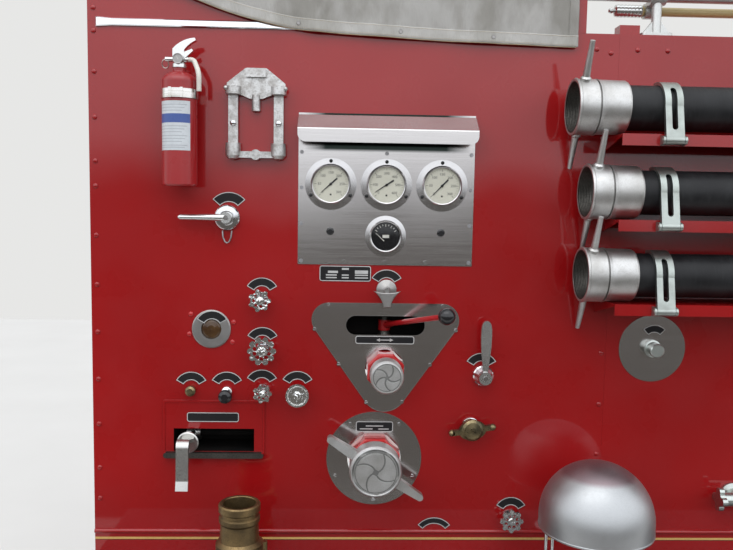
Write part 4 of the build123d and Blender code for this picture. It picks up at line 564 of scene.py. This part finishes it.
# %% [markdown]
# ## Gauge faces
#
# Each pressure gauge has a cream enamelled dial with printed marks, plain numbers round three
# quarters of a turn, and a needle that is long towards its point and short and stout behind the
# hub. The marks are radial bars, thicker at every fifth step. Printing has hardly any thickness,
# but a tenth of a millimetre keeps each mark a real solid that a render or an export can't lose.
# The numbers are text objects turned into meshes, because text is the only easy source of good
# numerals. The dials rest at zero or hold a little pressure, as on a parked vehicle.

# %% Dial marks
def bar(x, z, turn, inner, outer, width, tip=None):
    """A straight bar that runs outwards from (x, z) in one direction; tip is its far width."""
    tip = width if tip is None else tip
    along = (math.cos(math.radians(turn)), math.sin(math.radians(turn)))
    corners = ((inner, -width / 2), (outer, -tip / 2), (outer, tip / 2), (inner, width / 2))
    return [(x + r * along[0] - s * along[1], z + r * along[1] + s * along[0]) for r, s in corners]


dial_front, ink = 6.5, 0.12
dials = ((-60.5, 250.0, 222), (82.5, 250.0, 213), (225.5, 250.0, 226))
first_mark, sweep, marks = 225.0, 270.0, 30
print_ink = new_finish("print_ink", (0.018, 0.018, 0.020), 0.5)
feed(print_ink, "Roughness", spread(print_ink, clouds(print_ink, 500.0), 0.42, 0.62))

ticks = []
for x, z, point in dials:
    for mark in range(marks + 1):
        major = mark % 5 == 0
        turn = first_mark - sweep * mark / marks
        inner, width = (36.5, 1.1) if major else (39.0, 0.6)
        ticks.append((bar(x, z, turn, inner, 42.0, width), dial_front, dial_front + ink))
    ticks.append((bar(x, z - 27, 0, -2.2, 2.2, 4.4), dial_front, dial_front + ink))
carry(prisms("dial_marks", ticks), "print_ink")
print(len(ticks), "marks on three dials")

# %% Numbers and needles
def numbers_round(name, x, z, radius, words, size, finish):
    """Plain numbers round a dial, turned from text into one mesh."""
    together = bmesh.new()
    for place_in_row, word in enumerate(words):
        text = bpy.data.curves.new("number", "FONT")
        text.body, text.size, text.extrude, text.resolution_u = word, size / 1000, 0.0001, 2
        text.align_x, text.align_y = "CENTER", "CENTER"
        holder = bpy.data.objects.new("number", text)
        shape = bpy.data.meshes.new_from_object(holder)
        turn = math.radians(first_mark - sweep * place_in_row / (len(words) - 1))
        spot = on_side(x + radius * math.cos(turn), dial_front + 0.1, z + radius * math.sin(turn))
        shape.transform(Matrix.Translation(spot) @ Matrix.Rotation(math.radians(90), 4, "X"))
        together.from_mesh(shape)
        bpy.data.objects.remove(holder)
    mesh = bpy.data.meshes.new(name)
    together.to_mesh(mesh)
    return carry(link(bpy.data.objects.new(name, mesh)), finish)


scales = (range(0, 301, 50), range(0, 601, 100), range(0, 301, 50))
needle_low, needle_high = dial_front + 1.2, dial_front + 1.9
for side, (x, z, point), scale in zip(("left", "middle", "right"), dials, scales):
    numbers_round(side + "_gauge_numbers", x, z, 29.0, [str(value) for value in scale], 9.6, "print_ink")
    needle = (bar(x, z, point, -2, 35, 3.4, 1.0), needle_low, needle_high)
    tail = (bar(x, z, point + 180, -2, 22, 3.4, 4.2), needle_low, needle_high)
    carry(prisms(side + "_gauge_needle", [needle, tail]), "print_ink")
hub = ((3.6, 0), (3.6, 2.2), (2.6, 2.8))
hub_spots = [(x, dial_front, z) for x, z, point in dials]
carry(turned_heads("needle_hubs", hub, hub_spots), "black_plastic")
print("numbers and needles on", len(dials), "dials")

# %% [markdown]
# ## The small meter and the plate's fittings
#
# The small meter below has a black face, so a thin black disc covers the cream one, and its marks
# are white and only on the upper arc. Three black screws hold each gauge's flange, at twelve, four
# and eight o'clock, and two rubber grommets close the openings beside the meter.

# %% Small meter
meter_x, meter_z = 82.5, 118.0
face_white = new_finish("print_white", (0.62, 0.61, 0.55), 0.5)
feed(face_white, "Roughness", spread(face_white, clouds(face_white, 500.0), 0.4, 0.6))
face = ((36.8, dial_front - 0.2), (36.8, dial_front + 0.5), (36.2, dial_front + 0.7))
carry(turned_heads("meter_face", face, [(meter_x, 0, meter_z)], 48), "black_plastic")
meter_front = dial_front + 0.7
white = [bar(meter_x, meter_z, 150 - 15 * i, 27.5 if i % 2 else 25.0, 31.5, 1.5) for i in range(9)]
white.append(bar(meter_x, meter_z, 0, -8, 9, 8.0))
printed = [(corners, meter_front, meter_front + 0.15) for corners in white]
carry(prisms("meter_marks", printed), "print_white")
pointer = [(bar(meter_x - 8, meter_z - 8, 137, -6, 24, 2.0, 0.9), meter_front + 0.9, meter_front + 1.5)]
carry(prisms("meter_needle", pointer), "print_white")

flange_circle, flange_front = 58.5, 5.6
flange_screws = []
for x, z, point in dials:
    flange_screws += [(a, flange_front, b) for a, b in on_circle(x, z, flange_circle, (90, 210, 330))]
cap_head = ((4.8, -0.6), (4.6, 2.2), (3.6, 3.0), (1.8, 3.1), (1.6, 2.2))
carry(turned_heads("gauge_flange_screws", cap_head, flange_screws, 16), "black_plastic")
grommet = ((10.0, 1.8), (10.0, 3.2), (8.6, 4.2), (6.6, 4.0), (5.6, 2.6), (3.0, 1.8))
ports = [(meter_x + side, 0, meter_z + 11) for side in (-143.0, 143.0)]
carry(turned_heads("port_grommets", grommet, ports, 28), "black_plastic")
print("meter at", (meter_x, meter_z), "and", len(flange_screws), "flange screws")

# %% [markdown]
# ## Silver borders on the labels
#
# Every control has a black anodised label with a bright edge, some bent in an arch over a hand
# wheel. The labels are already in the CAD model, so their borders come from its own faces: copy the
# faces that look outwards, inset them by the border's width, keep the ring between the old and the
# new outline, and give it a thickness. The border then fits each label exactly, whatever its shape.
# An outline with nothing beyond it counts as a boundary, and Blender insets it only when told to.

# %% Borders from a CAD node's front faces
def edging(name, node, width, thick):
    """A raised rim just inside the outline of every front face of a node."""
    rim = bmesh.new()
    rim.from_mesh(nodes[node].data)
    bmesh.ops.remove_doubles(rim, verts=rim.verts, dist=1e-6)
    bmesh.ops.delete(rim, geom=[f for f in rim.faces if f.normal.y > -0.99], context="FACES")
    ways = {"use_even_offset": True, "use_boundary": True}
    ring = set(bmesh.ops.inset_region(rim, faces=rim.faces[:], thickness=width / 1000, **ways)["faces"])
    bmesh.ops.delete(rim, geom=[f for f in rim.faces if f not in ring], context="FACES")
    grown = bmesh.ops.extrude_face_region(rim, geom=rim.faces[:], use_keep_orig=True)["geom"]
    moved = [v for v in grown if isinstance(v, bmesh.types.BMVert)]
    bmesh.ops.translate(rim, verts=moved, vec=(0, -thick / 1000, 0))
    bmesh.ops.recalc_face_normals(rim, faces=rim.faces)
    mesh = bpy.data.meshes.new(name)
    rim.to_mesh(mesh)
    return link(bpy.data.objects.new(name, mesh))


moulded("label_silver", (0.48, 0.48, 0.47), (0.34, 0.34, 0.33), 0.34, 1400.0, 0.00001, haze=40.0)
borders = carry(edging("label_borders", "label_plates", 2.0, 0.35), "label_silver")
carry(edging("discharge_plate_edge", "discharge_plate", 1.6, 0.25), "chrome")
print(len(borders.data.polygons), "faces in the labels' borders")

# %% [markdown]
# ## Plain marks on the labels
#
# The long label under the discharge lever shows a double arrow, a common sign that says which way a
# lever swings. The data plate under the gauges and the label over the lower cap are ruled in plain
# silver fields.

# %% Double arrow and empty fields
def silvered(name, shapes, out, thick):
    """Printed silver marks: flat shapes, `out` millimetres in front of the paint."""
    raised = [(corners, out, out + thick) for corners in shapes]
    return carry(prisms(name, raised), "label_silver")


def field(x, z, width, height):
    """The corners of an upright rectangle about its middle."""
    return [(x + i * width / 2, z + j * height / 2) for i, j in ((-1, -1), (1, -1), (1, 1), (-1, 1))]


label_front = 1.5
arrow_x, arrow_z, arrow_head = 86.0, -153.0, ((22, 0), (13, 4.5), (13, -4.5))
arrow = [bar(arrow_x, arrow_z, 0, -14, 14, 2.4)]
for s in (1, -1):
    arrow.append([(arrow_x + s * along, arrow_z + s * up) for along, up in arrow_head])
silvered("lever_arrow", arrow, plate_front + label_front, 0.2)
fields = [field(-20, 32, 18, 5), field(-52, 24, 26, 6), field(22, 24, 34, 9)]
fields += [field(x, z, width, 3.2) for z in (16, 9) for x, width in ((-56, 28), (-20, 18), (22, 34))]
silvered("data_plate_fields", fields, label_front, 0.15)
inlet_rows = ((0, 8, 46), (-22, 0, 34), (24, 0, 28), (0, -8, 60))
inlet_fields = [field(inlet_x + dx, inlet_z + 80 + dz, width, 2.6) for dx, dz, width in inlet_rows]
silvered("inlet_plate_fields", inlet_fields, plate_front + label_front, 0.15)
print(len(fields) + len(inlet_fields), "empty fields")

# %% [markdown]
# ## Canvas over the cowl
#
# A stained canvas sheet lies over the folded cowl and hangs down its front to a curved hem. In the
# CAD model it is one smooth solid, which no cloth ever is, so a thin sheet takes its place. The
# sheet follows the same line, back to front: flat on the deck, round the bend, then straight down.
# A grid of points along that line is pushed outwards by slow folds that grow towards the hem,
# where nothing holds the cloth, and by small creases everywhere. Seeded noise gives the same folds
# each time. A modifier then gives the sheet the thickness of one layer.

# %% The cloth's surface
from mathutils import noise

cloth_left, cloth_right = -500.0, 561.0
cowl_top = 792.0
cloth_out, cloth_up = 12.0, 2.4
bend_r = 52.0
deck_depth = 175.0
hem_drops = (
    (0.0, 57), (0.07, 81), (0.142, 111), (0.236, 140), (0.33, 159), (0.448, 167), (0.684, 178), (1.0, 186),
)


def hem_drop(x):
    """How far the hem hangs below the top of the cowl, smoothed between the measured places."""
    total = 0.0
    for shift in (-40, -20, 0, 20, 40):
        share = min(1.0, max(0.0, (x + shift - cloth_left) / (cloth_right - cloth_left)))
        for (a, low), (b, high) in zip(hem_drops, hem_drops[1:]):
            if a <= share <= b:
                total += low + (high - low) * (share - a) / (b - a)
                break
    return total / 5


bend_length = bend_r * math.pi / 2
bend_z = cowl_top + cloth_up - bend_r


def cloth_length(x):
    """Length of the cloth from its rear edge to the hem."""
    return deck_depth + bend_length + bend_z - (cowl_top - hem_drop(x))


def cloth_point(x, along, lift=0.0):
    """A point on the cloth, `along` millimetres from its rear edge, raised by the folds there."""
    free = max(0.0, along - deck_depth) / 220.0
    slow = noise.noise(Vector((x / 95 + along / 330, along / 420, 3.1)))
    diagonal = noise.noise(Vector((x / 46 - along / 70, along / 150, 7.7)))
    creases = noise.noise(Vector((x / 14 + along / 60, along / 34, 1.3)))
    lift += free * (5.2 * slow + 3.2 * diagonal) + (0.5 + free) * 1.1 * creases
    if along < deck_depth:
        return on_side(x, cloth_out - bend_r - deck_depth + along, cowl_top + cloth_up + lift)
    if along < deck_depth + bend_length:
        turn = (along - deck_depth) / bend_r
        out = cloth_out - bend_r + (bend_r + lift) * math.sin(turn)
        return on_side(x, out, bend_z + (bend_r + lift) * math.cos(turn))
    return on_side(x, cloth_out + lift, bend_z - (along - deck_depth - bend_length))


def cloth_grid(name, first, last, columns, rows, lift=0.0, left=cloth_left, right=cloth_right):
    """A strip of the cloth between two distances, counted back from the hem."""
    vertices = []
    for row in range(rows + 1):
        for column in range(columns + 1):
            x = left + (right - left) * column / columns
            length = cloth_length(x)
            start = 0.0 if first is None else length - first
            vertices.append(cloth_point(x, start + (length - last - start) * row / rows, lift))
    faces = []
    for row in range(rows):
        for column in range(columns):
            a = row * (columns + 1) + column
            faces.append((a, a + columns + 1, a + columns + 2, a + 1))
    made = mesh_object(name, vertices, faces, smooth=True)
    made.modifiers.new("thickness", "SOLIDIFY").thickness = 0.0014
    made.modifiers["thickness"].offset = 0.0
    return made


print("the cloth is", round(cloth_length(0)), "mm long at its middle")

# %% [markdown]
# ## The canvas's weave
#
# Canvas is a plain weave: threads cross over and under each other in a tiny grid. Two sets of
# waves, one across the other, make that grid as relief, and the gaps between the threads are painted
# a little darker, as painted shade. Rain has left slow tide marks in it.

# %% Canvas finish and sheet
def woven(name, colour, stained, pitch):
    """Plain woven cloth; pitch is the number of threads to the metre over two pi."""
    cloth = new_finish(name, colour, 0.9, Sheen_Weight=0.15)
    blotches = clouds(cloth, 7.0, (1.6, 1, 0.7), detail=6.0)
    stains = blend_colours(cloth, spread(cloth, blotches, 0.0, 0.9, 0.46, 0.62), colour, stained)
    where = place(cloth)
    inputs = {"Vector": where, "Scale": pitch, "Distortion": 0.3}
    bands = {"wave_type": "BANDS", "wave_profile": "SIN"}
    warp, weft = (
        add(cloth, "TexWave", inputs, bands_direction=way, **bands).outputs["Fac"] for way in ("X", "Z")
    )
    grid = add(cloth, "Math", {0: warp, 1: weft}, operation="MAXIMUM").outputs[0]
    # Painted shade: the colour turns darker in the gaps where neither thread rises.
    darker = tuple(0.86 * c for c in colour)
    between = spread(cloth, grid, 0.25, 0.0, 0.5, 1.0)
    feed(cloth, "Base Color", blend_colours(cloth, between, stains, darker))
    soft = relief(cloth, clouds(cloth, 26.0, (1.5, 1, 0.5), detail=5.0), 0.006)
    feed(cloth, "Normal", relief(cloth, grid, 0.0002, soft))
    return cloth


woven("canvas_cloth", (0.375, 0.365, 0.345), (0.23, 0.22, 0.195), 300.0)
woven("canvas_band", (0.44, 0.43, 0.405), (0.33, 0.32, 0.29), 300.0)
woven("canvas_thread", (0.46, 0.36, 0.24), (0.34, 0.26, 0.17), 900.0)
along_it, down_it, over_band = 260, 72, 8
sheet = carry(cloth_grid("canvas_sheet", None, 0.0, along_it, down_it), "canvas_cloth")
band_width = 28.0
band = cloth_grid("canvas_hem", band_width, -0.5, along_it, over_band, lift=1.9)
carry(band, "canvas_band")
side_edges = {"left": cloth_right - 24, "right": cloth_right - 0.5}
side_band = cloth_grid("canvas_side_hem", None, 0.0, over_band, down_it, lift=1.7, **side_edges)
carry(side_band, "canvas_cloth")
print(len(sheet.data.vertices), "points in the sheet")

# %% [markdown]
# ## Hem, thread and snaps
#
# The hem is the sheet's edge turned up and sewn. Its stitches are short raised dashes along two
# lines, a tan cord is bound into the very edge, and press studs hold the cover to the body. A tube
# is made by carrying a ring of points along a path, with the ring turned square to the path.

# %% Stitches, cord and snaps
def tube(name, path, radius, steps=8):
    """A closed tube of equal radius along a path of points."""
    vertices = []
    for i, spot in enumerate(path):
        ahead = (path[min(i + 1, len(path) - 1)] - path[max(i - 1, 0)]).normalized()
        side = ahead.cross(Vector((0, 1, 0.01))).normalized()
        up = side.cross(ahead)
        vertices += [spot + radius / 1000 * (c * side + s * up) for c, s in circle(steps)]
    return mesh_object(name, vertices, skin(0, len(path), steps), smooth=True)


brick_faces = ((3, 2, 1, 0), (4, 5, 6, 7), (0, 1, 5, 4), (1, 2, 6, 5), (2, 3, 7, 6), (3, 0, 4, 7))


def stitches(name, back, start, end, lift, length=3.4, gap=2.2, width=0.9):
    """Raised dashes along the hem, `back` millimetres from its edge."""
    vertices, faces = [], []
    x, half = start, width / 2
    while x + length < end:
        first = len(vertices)
        for high in (lift - 0.6, lift + 0.5):
            for at, off in ((x, half), (x + length, half), (x + length, -half), (x, -half)):
                vertices.append(cloth_point(at, cloth_length(at) - back + off, high))
        faces += [[first + i for i in side] for side in brick_faces]
        x += length + gap
    return carry(mesh_object(name, vertices, faces), "canvas_thread")


seams = (("hem_stitches", 25.5), ("edge_stitches", 4.0))
sewn = [stitches(name, back, cloth_left + 3, cloth_right - 3, 2.7) for name, back in seams]
cord_steps = range(int(cloth_left) + 1, int(cloth_right), 8)
cord_path = [cloth_point(x, cloth_length(x) + 1.0, 1.0) for x in cord_steps]
piping = carry(tube("hem_piping", cord_path, 1.6, 6), "canvas_thread")
snap = ((5.4, 0), (5.2, 1.2), (4.2, 2.0), (3.2, 1.7), (1.2, 2.2))
snap_spots = []
for x in (-400, -146, 110, 345):
    spot = cloth_point(x, cloth_length(x) - 14, 2.4)
    snap_spots.append((1000 * spot.x, -1000 * spot.y - 60, 1000 * spot.z))
snaps = carry(turned_heads("canvas_snaps", snap, snap_spots), "lamp_metal")
for piece in (sheet, band, side_band):
    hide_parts("canvas_cover")
print(len(snap_spots), "snaps on the hem")

# %% [markdown]
# ## Gold stripe
#
# A thin line of gold leaf runs along the bottom of the side, under the bead, with a dark line
# drawn along its lower edge. It is paint, but two very thin prisms keep it crisp at any distance.

# %% Stripe
moulded("gold_leaf", (0.60, 0.38, 0.13), (0.48, 0.28, 0.08), 0.30, grain=160.0, haze=20.0)
moulded("stripe_shade", (0.045, 0.012, 0.008), (0.07, 0.02, 0.014), 0.35)


def strip(x_start, x_end, z_low, z_high):
    """The corners of a long upright rectangle."""
    return [(x_start, z_low), (x_end, z_low), (x_end, z_high), (x_start, z_high)]


runs = ((-671.5, 671.5), (673.0, 2089.5))
stripe_low, stripe_high, shade_low = -695.0, -689.0, -696.6
gold = [(strip(a, b, stripe_low, stripe_high), -0.1, 0.16) for a, b in runs]
shade = [(strip(a, b, shade_low, stripe_low), -0.1, 0.14) for a, b in runs]
carry(prisms("gold_stripe", gold), "gold_leaf")
carry(prisms("stripe_shadow_line", shade), "stripe_shade")
print("stripe along", runs[-1][1] - runs[0][0], "mm")

# %% [markdown]
# ## Tread on the running board
#
# Tread plate is rolled with raised lozenges that lie crosswise to their neighbours. Each lozenge
# here is a low roof: four corners on the plate and a ridge of two. A loop lays them out in a
# checkerboard and turns every second one. Corners listed one by one can leave some faces inside
# out, so Blender is asked to turn them all outwards.

# %% Tread lozenges
def outwards(made):
    """Turn the faces of a closed mesh so that they all look outwards."""
    shape = bmesh.new()
    shape.from_mesh(made.data)
    bmesh.ops.recalc_face_normals(shape, faces=shape.faces)
    shape.to_mesh(made.data)
    return made


board_z, board_front, board_start, board_length, margin = -742.0, 330.0, -672, 2745, 12
pitch, half_long, half_wide, tread_rise = 26.0, 10.5, 3.6, 1.3
vertices, faces = [], []
columns, rows = int(board_length / pitch), int((board_front - 2 * margin) / pitch)
for column in range(columns):
    for row in range(rows):
        x, out = board_start + pitch * (column + 0.7), margin + pitch * (row + 0.6)
        along = Vector((1, 1)) if (column + row) % 2 else Vector((1, -1))
        along = along.normalized()
        across = Vector((-along.y, along.x))
        corners = [along * half_long, across * half_wide, -along * half_long, -across * half_wide]
        first = len(vertices)
        vertices += [on_side(x + c.x, out + c.y, board_z - 0.2) for c in corners]
        ridge = (along * half_long * 0.45, -along * half_long * 0.45)
        vertices += [on_side(x + c.x, out + c.y, board_z + tread_rise) for c in ridge]
        a, b, c, d, e, f = range(first, first + 6)
        faces += [(a, b, c, d), (b, a, e), (c, b, e, f), (d, c, f), (a, d, f, e)]
carry(outwards(mesh_object("tread_lozenges", vertices, faces)), "tread_plate")
print(columns * rows, "lozenges")

# %% [markdown]
# ## Pole ferrule and shift guide
#
# Some CAD nodes join two materials in one solid. The pole is wood, but its front end sits in a
# ribbed chromed ferrule, and the shift plate is red, but the bar that guides the handle is bare
# dark metal. Each gets a thin sleeve of the right metal over the CAD shape.

# %% Sleeves over joined nodes
def turned_along(name, outline, out, z, steps=28):
    """A solid turned about a line along the vehicle; outline holds (x, radius)."""
    vertices = [on_side(x, out + r * c, z + r * s) for x, r in outline for c, s in circle(steps)]
    return outwards(mesh_object(name, vertices, skin(0, len(outline), steps), smooth=True))


ferrule = [(659, 3), (661, 6), (667, 7.5), (671, 5), (673, 5), (675, 12), (677, 15.4)]
rib_pitch, rib_steps = 9.5, ((680, 15.4), (682, 16.4), (686, 16.4), (687.5, 15.4))
for rib in range(7):
    ferrule += [(x + rib_pitch * rib, radius) for x, radius in rib_steps]
pole_out, pole_z = -58, 715
carry(turned_along("pole_ferrule", ferrule, pole_out, pole_z), "wheel_chrome")
guide_z, guide_r = -462.5, 7.3
guide = arc(-481.5, guide_z, guide_r, 90, 270, 8) + arc(-235.5, guide_z, guide_r, -90, 90, 8)
carry(prisms("shift_guide_sleeve", [(guide, 2.0, 15.6)]), "coupling_dark")
print(len(ferrule), "steps in the ferrule's outline")

# %% [markdown]
# ## Extinguisher
#
# The hand extinguisher carries a paper label with a blue band and ruled grey lines, wrapped round
# the bottle. A flat picture can't wrap without a texture, so the label is a sleeve over part of a
# turn, a few tenths of a millimetre thick, and the band and the lines are thinner sleeves on it. The
# strap is closed by a buckle, and the valve has a small round pressure gauge.

# %% Label sleeves
def sleeve(x, out, radius, thick, z_low, z_high, start, end, steps=24):
    """Corners and faces of part of a pipe's wall about an upright axis, in degrees from the front."""
    corners, faces = [], []
    for i in range(steps + 1):
        turn = math.radians(start + (end - start) * i / steps)
        for r, z in ((radius, z_low), (radius + thick, z_low), (radius + thick, z_high), (radius, z_high)):
            corners.append(on_side(x + r * math.sin(turn), out + r * math.cos(turn), z))
    for i in range(steps):
        a, b = 4 * i, 4 * i + 4
        faces += [(a + j, a + (j + 1) % 4, b + (j + 1) % 4, b + j) for j in range(4)]
    faces += [(3, 2, 1, 0), tuple(4 * steps + j for j in range(4))]
    return corners, faces


def sleeves(name, rows):
    """Several sleeves in one mesh."""
    vertices, faces = [], []
    for row in rows:
        corners, walls = sleeve(*row)
        faces += [[len(vertices) + i for i in wall] for wall in walls]
        vertices += corners
    return outwards(mesh_object(name, vertices, faces, smooth=True))


bottle_x, bottle_out = -432.0, 60.0
bottle = (bottle_x, bottle_out, 42.0)
label_turn = (-85, 47)
moulded("label_paper", (0.55, 0.58, 0.60), (0.46, 0.48, 0.50), 0.38, grain=200.0, haze=30.0)
moulded("label_blue", (0.035, 0.075, 0.26), (0.06, 0.10, 0.30), 0.36)
moulded("label_grey", (0.30, 0.32, 0.35), (0.38, 0.40, 0.42), 0.4)
carry(sleeves("bottle_label", [(*bottle, 0.35, 322, 440, *label_turn)]), "label_paper")
carry(sleeves("bottle_label_band", [(*bottle, 0.5, 388, 409.5, *label_turn)]), "label_blue")
line_heights = (430, 423, 416, 379, 372, 365, 356, 349, 342, 333, 328)
ruled = [(*bottle, 0.48, z, z + 1.6, -74, 36 - 9 * (i % 3)) for i, z in enumerate(line_heights)]
carry(sleeves("bottle_label_lines", ruled), "label_grey")
print(len(ruled), "ruled lines on the bottle's label")

# %% Buckle and gauge
strap_z, strap_front, gauge_z = 459.0, 106.5, 542.3
buckle = [(field(bottle_x + side, strap_z, 7, 24), strap_front, 110.0) for side in (-14, 14)]
buckle.append((field(bottle_x, strap_z, 22, 15), strap_front, 108.2))
carry(prisms("strap_buckle", buckle), "bracket_steel")
gauge_rim = ((12.6, -8), (12.6, 1.2), (11.6, 2.0), (10.4, 1.6), (10.2, 0.6), (4.0, 0.6))
carry(turned_heads("bottle_gauge", gauge_rim, [(bottle_x, 80, gauge_z)], 28), "lamp_metal")
hand = [(bar(bottle_x, gauge_z, 120, -2, 7.5, 1.2, 0.6), 80.6, 81.0)]
carry(prisms("bottle_gauge_needle", hand), "print_white")
pin_x, pin_z, full_turn = -466, 532, circle(20)
full_turn.append(full_turn[0])
pin_ring = [on_side(pin_x + 8 * c, bottle_out + 3 * s, pin_z + 10 * s) for c, s in full_turn]
carry(tube("safety_pin_ring", pin_ring, 1.2), "bracket_steel")
print("buckle, gauge and pin ring on the bottle")

# %% [markdown]
# ## Where a surface is
#
# Studs and bolts have to sit on a casting whose surface isn't flat. Blender can answer where that
# surface is: a ray sent from in front towards a CAD object stops at the first face that it meets.

# %% Studs, bolts and small hooks
def out_of(node, x, z):
    """How far in front of the painted face a node's nearest surface is at (x, z)."""
    found, spot, *rest = nodes[node].ray_cast(on_side(x, 900, z), Vector((0, 1, 0)))
    return -1000 * spot.y - 60 if found else 0.0


stud = ((8.0, -1.0), (8.0, 1.5), (6.6, 4.0), (3.5, 5.6), (1.0, 6.0))
stud_z, ear_z = 398, 483
studs = [(x, out_of("spanner_rack", x, stud_z), stud_z) for x in (-307.5, -193.5)]
carry(turned_heads("rack_studs", stud, studs), "chrome")
rack_ears = [(x, out_of("spanner_rack", x, ear_z) - 1, ear_z) for x in (-324.5, -176.5)]
pip = ((6.0, -2.0), (6.0, 2.0), (4.0, 5.0), (1.0, 6.0))
carry(turned_heads("rack_ear_pins", pip, rack_ears, 16), "rack_casting")
cock_x, cock_half_loop = -324, ((11.5, -2, 126), (11.5, 7, 125), (10.5, 8, 110), (5.5, 8, 98))
cock_loop = [on_side(cock_x - x, out, z) for x, out, z in cock_half_loop] + [on_side(cock_x, 8, 95)]
cock_loop += [on_side(cock_x + x, out, z) for x, out, z in reversed(cock_half_loop)]
carry(tube("cock_hook", cock_loop, 2.0), "steel_inside")
collar, starter = ((14.2, 0.4), (14.2, 5.0), (13.0, 8.0), (11.5, 9.0)), (-325, 0, -294)
carry(turned_heads("starter_collar", collar, [starter], 32), "cast_chrome")
print("studs at", [round(spot[1], 1) for spot in studs], "mm in front of the paint")

# %% [markdown]
# ## Linings and lobes
#
# The suction hoses' couplings are open, and inside them is a screw thread, finished near black as
# painted shade deep in the bore. A lining is a closed outline turned about the hose's axis: it goes in
# along the bore in small steps, which are the thread, and comes back just behind them. The blank caps
# are cast with raised lobes that swirl out from the middle, and the floor of the channels between them
# is a darker metal, as painted shade in the grooves. A lobe's two long sides turn a little further
# with every step outwards, and it is a stack of two prisms, so that it has a soft shoulder.

# %% Linings and lobes
def lining(name, x, z, outer, inner, depth, out=90.0, steps=48):
    """A threaded sleeve inside a bore that opens towards -X."""
    outline = [(x + 0.6, outer), (x + 0.6, inner)]
    for turn in range(int(depth / 4)):
        groove = x + 4 * turn
        outline += [(groove + 1.6, inner), (groove + 2.8, inner + 1.6), (groove + 3.6, inner + 1.6)]
    outline += [(x + depth, inner), (x + depth, outer)]
    vertices = [on_side(at, out + r * c, z + r * s) for at, r in outline for c, s in circle(steps)]
    count, faces = len(outline), []
    for ring in range(count):
        for step in range(steps):
            a, b = ring * steps + step, ring * steps + (step + 1) % steps
            c, d = (ring + 1) % count * steps + step, (ring + 1) % count * steps + (step + 1) % steps
            faces.append((a, b, d, c))
    return outwards(mesh_object(name, vertices, faces))


def lobe(x, z, inner, outer, start, end, channel, twist=48.0, steps=8):
    """The corners of one lobe between two sides that turn by `twist` degrees on their way out."""
    sides = []
    for turn, way in ((start, 1), (end, -1)):
        sides.append([])
        for i in range(steps + 1):
            r = inner + (outer - inner) * i / steps
            at = math.radians(turn + twist * i / steps) + way * channel / 2 / r
            sides[-1].append((x + r * math.cos(at), z + r * math.sin(at)))
    margin = math.degrees(channel / 2 / outer)
    rim = arc(x, z, outer, start + twist + margin, end + twist - margin, 10)
    return sides[0] + rim[1:-1] + sides[1][::-1]


mouths = (("upper", 530.0, 446.0), ("middle", 571.0, 240.0), ("lower", 568.0, 34.0))
mouth_bore, thread_depth = 62.5, 35.0
# Painted shade: the threads take near-black coupling_dark for the shade deep in each bore.
for row, x, z in mouths:
    thread = lining(row + "_coupling_thread", x, z, mouth_bore - 0.3, mouth_bore - 2.4, thread_depth)
    carry(thread, "coupling_dark")
cap_face = 113.1
caps = (("outlet_cap", 87.0, -229.0, 34.0, 5), ("inlet_cap", inlet_x, inlet_z, 52.0, 4))
# Painted shade: the channel floor takes darker channel_metal than the lobes of the same casting.
for node, x, z, reach, lobes in caps:
    floor_of_cap = ((reach + 1.5, -0.6), (reach + 1.5, 0.1), (reach, 0.3))
    channels = turned_heads(node + "_channels", floor_of_cap, [(x, cap_face, z)], 48)
    carry(channels, "channel_metal", node)
    hub_r, shapes = 0.16 * reach, []
    for k in range(lobes):
        start, end = 20 + 360 * k / lobes, 20 + 360 * (k + 1) / lobes
        shapes.append((lobe(x, z, hub_r, reach - 1, start, end, 4.6), cap_face + 0.2, cap_face + 1.6))
        shapes.append((lobe(x, z, hub_r + 2, reach - 3.2, start, end, 8.6), cap_face + 1.5, cap_face + 2.8))
    carry(prisms(node + "_lobes", shapes), "cast_aluminium", node)
print(len(mouths), "threads and two caps' lobes")
